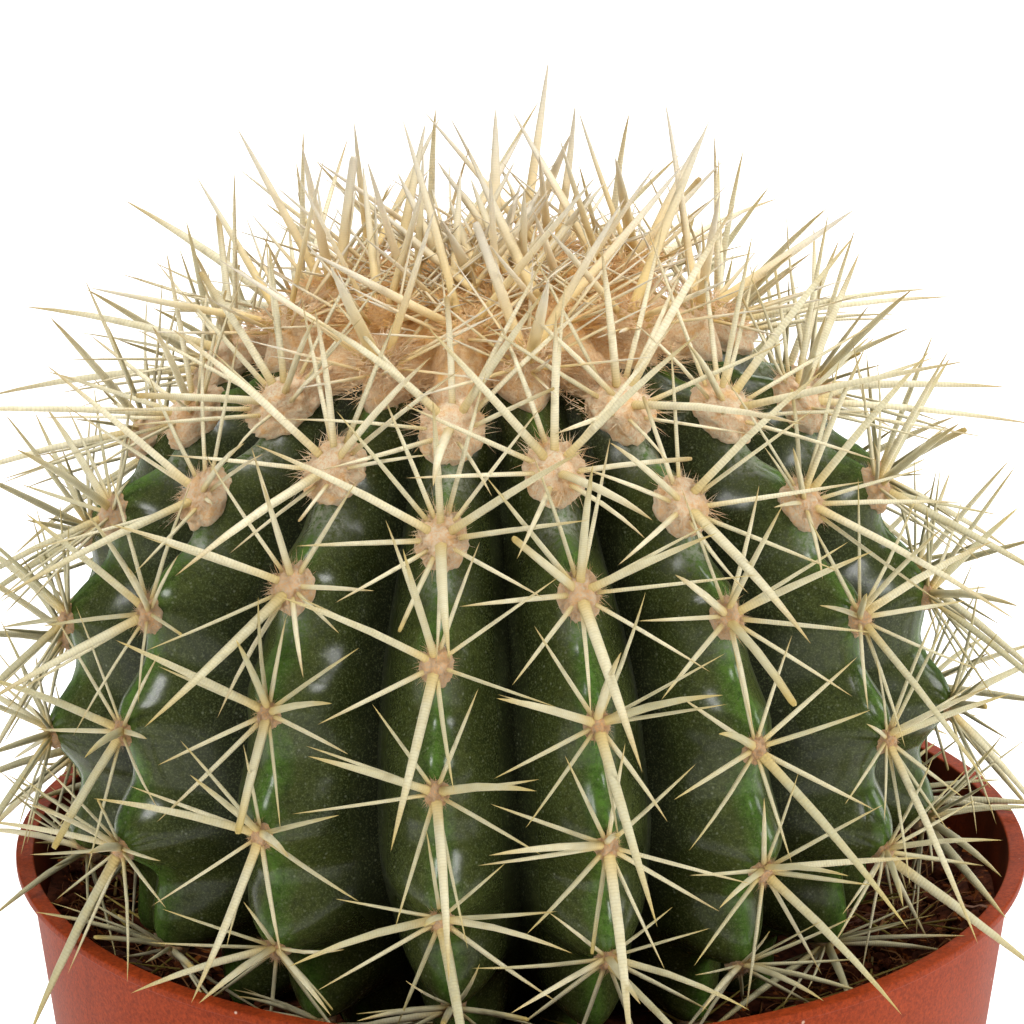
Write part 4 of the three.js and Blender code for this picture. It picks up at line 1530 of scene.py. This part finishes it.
def makeStrands(kind):
    # each strand is bowed along the ground, with its ends lifted or tucked in
    rng = random.Random(seeds[kind["name"]])
    model = makeStrandModel()
    points = [vertex.co.copy() for vertex in model.data.vertices]
    steps = strandShape["steps"]
    look = strandShape["look"]
    copies = []
    while len(copies) < kind["count"]:
        start = spotOnSoil(rng, strandShape["startRoom"])
        turn = rng.random() * 2 * math.pi
        along = Vector((math.cos(turn), math.sin(turn), 0))
        across = Vector((-along.y, along.x, 0))
        length = rng.uniform(*kind["length"])
        radius = rng.uniform(*kind["radius"])
        bend = rng.gauss(0, strandShape["bend"]) * length
        hump = abs(rng.gauss(0, strandShape["hump"]))
        wiggle = rng.uniform(0, strandShape["wiggle"]) * length
        phase = rng.random() * strandShape["phases"]

        def pathAt(share):
            aside = bend * share ** 2 + wiggle * math.sin(strandShape["waves"] * share + phase)
            centre = start + along * length * share + across * aside
            ground = soilHeight(centre.x, centre.y)
            centre.z = ground + radius * strandShape["rise"] + hump * math.sin(math.pi * share)
            return centre

        if not liesClear([pathAt(k / steps) for k in range(steps + 1)], radius, soilShape["room"]):
            continue
        strand = copyOf(model, rng.random())
        for vertex, point in zip(strand.data.vertices, points):
            ahead = (pathAt(min(point.z + look, 1)) - pathAt(max(point.z - look, 0))).normalized()
            side = ahead.orthogonal().normalized()
            vertex.co = pathAt(point.z) + (side * point.x + ahead.cross(side) * point.y) * radius
        copies.append(strand)
    dropModel(model)
    return joinCopies(copies, kind["name"])


oldSpine = {
    "count": (6, 8),
    "lift": (5, 36),
    "length": (0.0080, 0.0140),
    "width": (0.00026, 0.00044),
    "rootPart": 0.45,
    "sway": 0.05,
    "broken": 0.1,
    "fallen": 110,
    "fallenRise": (0.0004, 0.0012),
    "fallenBow": 0.05,
    "fallenBroken": 0.3,
    "fallenLooks": 8,
    "tones": (0, 1),
}


def listOldSpines():
    # the thin, weathered spines of the oldest areoles fan out over the soil
    rng = random.Random(seeds["oldSpinePlaces"])
    spines = []
    for areole in oldestAreoles:
        count = rng.randint(*oldSpine["count"])
        for i in range(count):
            turn = math.radians(360 * (i + rng.random()) / count)
            lift = math.radians(rng.uniform(*oldSpine["lift"]))
            length = rng.uniform(*oldSpine["length"])
            width = rng.uniform(*oldSpine["width"])
            bow = areole["sideways"] * length * rng.gauss(0, oldSpine["sway"])
            broken = rng.random() < oldSpine["broken"]
            spines.append(grownSpine(areole, turn, lift, oldSpine["rootPart"], length, width, bow, broken))
    return [spine for spine in spines if bendClear(spine)]


def listFallenSpines():
    # old spines that dropped off and lie across the crumbs
    rng = random.Random(seeds["fallenSpinePlaces"])
    thickest = oldSpine["width"][1]
    looks = oldSpine["fallenLooks"]
    spines = []
    while len(spines) < oldSpine["fallen"]:
        start = spotOnSoil(rng, thickest)
        turn = rng.random() * 2 * math.pi
        length = rng.uniform(*oldSpine["length"])
        end = start + Vector((math.cos(turn), math.sin(turn), 0)) * length
        end.z = soilHeight(end.x, end.y)
        rise = Vector((0, 0, rng.uniform(*oldSpine["fallenRise"])))
        if not liesClear([start.lerp(end, k / looks) + rise for k in range(looks + 1)], thickest, 0):
            continue
        spines.append({
            "root": start + rise,
            "direction": (end - start).normalized(),
            "face": Vector((0, 0, 1)),
            "length": length,
            "width": rng.uniform(*oldSpine["width"]),
            "bow": Vector((0, 0, rng.uniform(0, oldSpine["fallenBow"]) * length)),
            "broken": rng.random() < oldSpine["fallenBroken"],
            "paler": 0.0,
        })
    return spines


def soilMaterial():
    material = newMaterial("peat and coir, loose")
    spot = addNode(material, "TexCoord").outputs["Object"]
    tone = addNode(material, "Attribute", attribute_name="tone").outputs["Fac"]
    # crumbs of 1 to 2 mm in dark and mid brown, with rusty flecks of bark
    crumbs = addNode(material, "TexNoise", {"Vector": spot, "Scale": 850, "Detail": 5, "Roughness": 0.7})
    crumbShare = addNode(material, "MapRange", {"Value": crumbs, "From Min": 0.38, "From Max": 0.66})
    toned = addNode(material, "Math", {0: tone, 1: 0.5}, operation="MULTIPLY")
    share = addNode(material, "Math", {0: crumbShare, 1: toned}, operation="ADD")
    brown = addNode(material, "Mix", {0: share, 6: soilShape["dark"], 7: soilShape["mid"]}, data_type="RGBA")
    flecks = addNode(material, "TexVoronoi", {"Vector": spot, "Scale": 900}).outputs["Color"]
    fleckShare = addNode(material, "MapRange", {"Value": flecks, "From Min": 0.78, "From Max": 0.90})
    colour = addNode(material, "Mix", {0: fleckShare, 6: brown, 7: soilShape["rust"]}, data_type="RGBA")
    bump = addNode(material, "Bump", {"Strength": 0.9, "Distance": 0.0003, "Height": crumbs})
    return finishShader(material, {
        "Base Color": colour,
        "Normal": bump,
        "Roughness": 0.95,
        "IOR": 1.4,
        "Specular IOR Level": 0.1,
    })


def twoToneMaterial(name, colours, roughness, grainScale):
    # pieces that vary from one colour to the other, with a fine grain
    material = newMaterial(name)
    spot = addNode(material, "TexCoord").outputs["Object"]
    tone = addNode(material, "Attribute", attribute_name="tone").outputs["Fac"]
    grain = addNode(material, "TexNoise", {"Vector": spot, "Scale": grainScale, "Detail": 3})
    shifted = addNode(material, "Math", {0: grain, 1: 0.6}, operation="MULTIPLY")
    share = addNode(material, "Math", {0: tone, 1: shifted}, operation="MULTIPLY")
    double = addNode(material, "Math", {0: share, 1: 2.4}, operation="MULTIPLY", use_clamp=True)
    colour = addNode(material, "Mix", {0: double, 6: colours[0], 7: colours[1]}, data_type="RGBA")
    bump = addNode(material, "Bump", {"Strength": 0.5, "Distance": 0.00008, "Height": grain})
    return finishShader(material, {
        "Base Color": colour,
        "Normal": bump,
        "Roughness": roughness,
        "IOR": 1.45,
        "Specular IOR Level": 0.15,
    })


soilFinish = soilMaterial()
finishPiece(makeSoilBed(), soilFinish, "soil")
finishPiece(makeLumps(crumb), soilFinish)
finishPiece(makeStrands(fibre), twoToneMaterial("dry coir and root fibre", fibreColours, 0.75, 1500))
finishPiece(makeStrands(rootlet), twoToneMaterial("dried rootlet", rootletColours, 0.7, 1200))
finishPiece(makeLumps(gritGrain), twoToneMaterial("pale quartz grit", gritColours, 0.55, 1800))
weathered = spineMaterial("cactus spine, weathered", weatheredColours)
finishPiece(makeSpines("oldSpines", listOldSpines(), oldSpine["tones"]), weathered)
finishPiece(makeSpines("fallenSpines", listFallenSpines(), oldSpine["tones"]), weathered)
print("stage: soil,", len(oldestAreoles), "areoles at its edge")
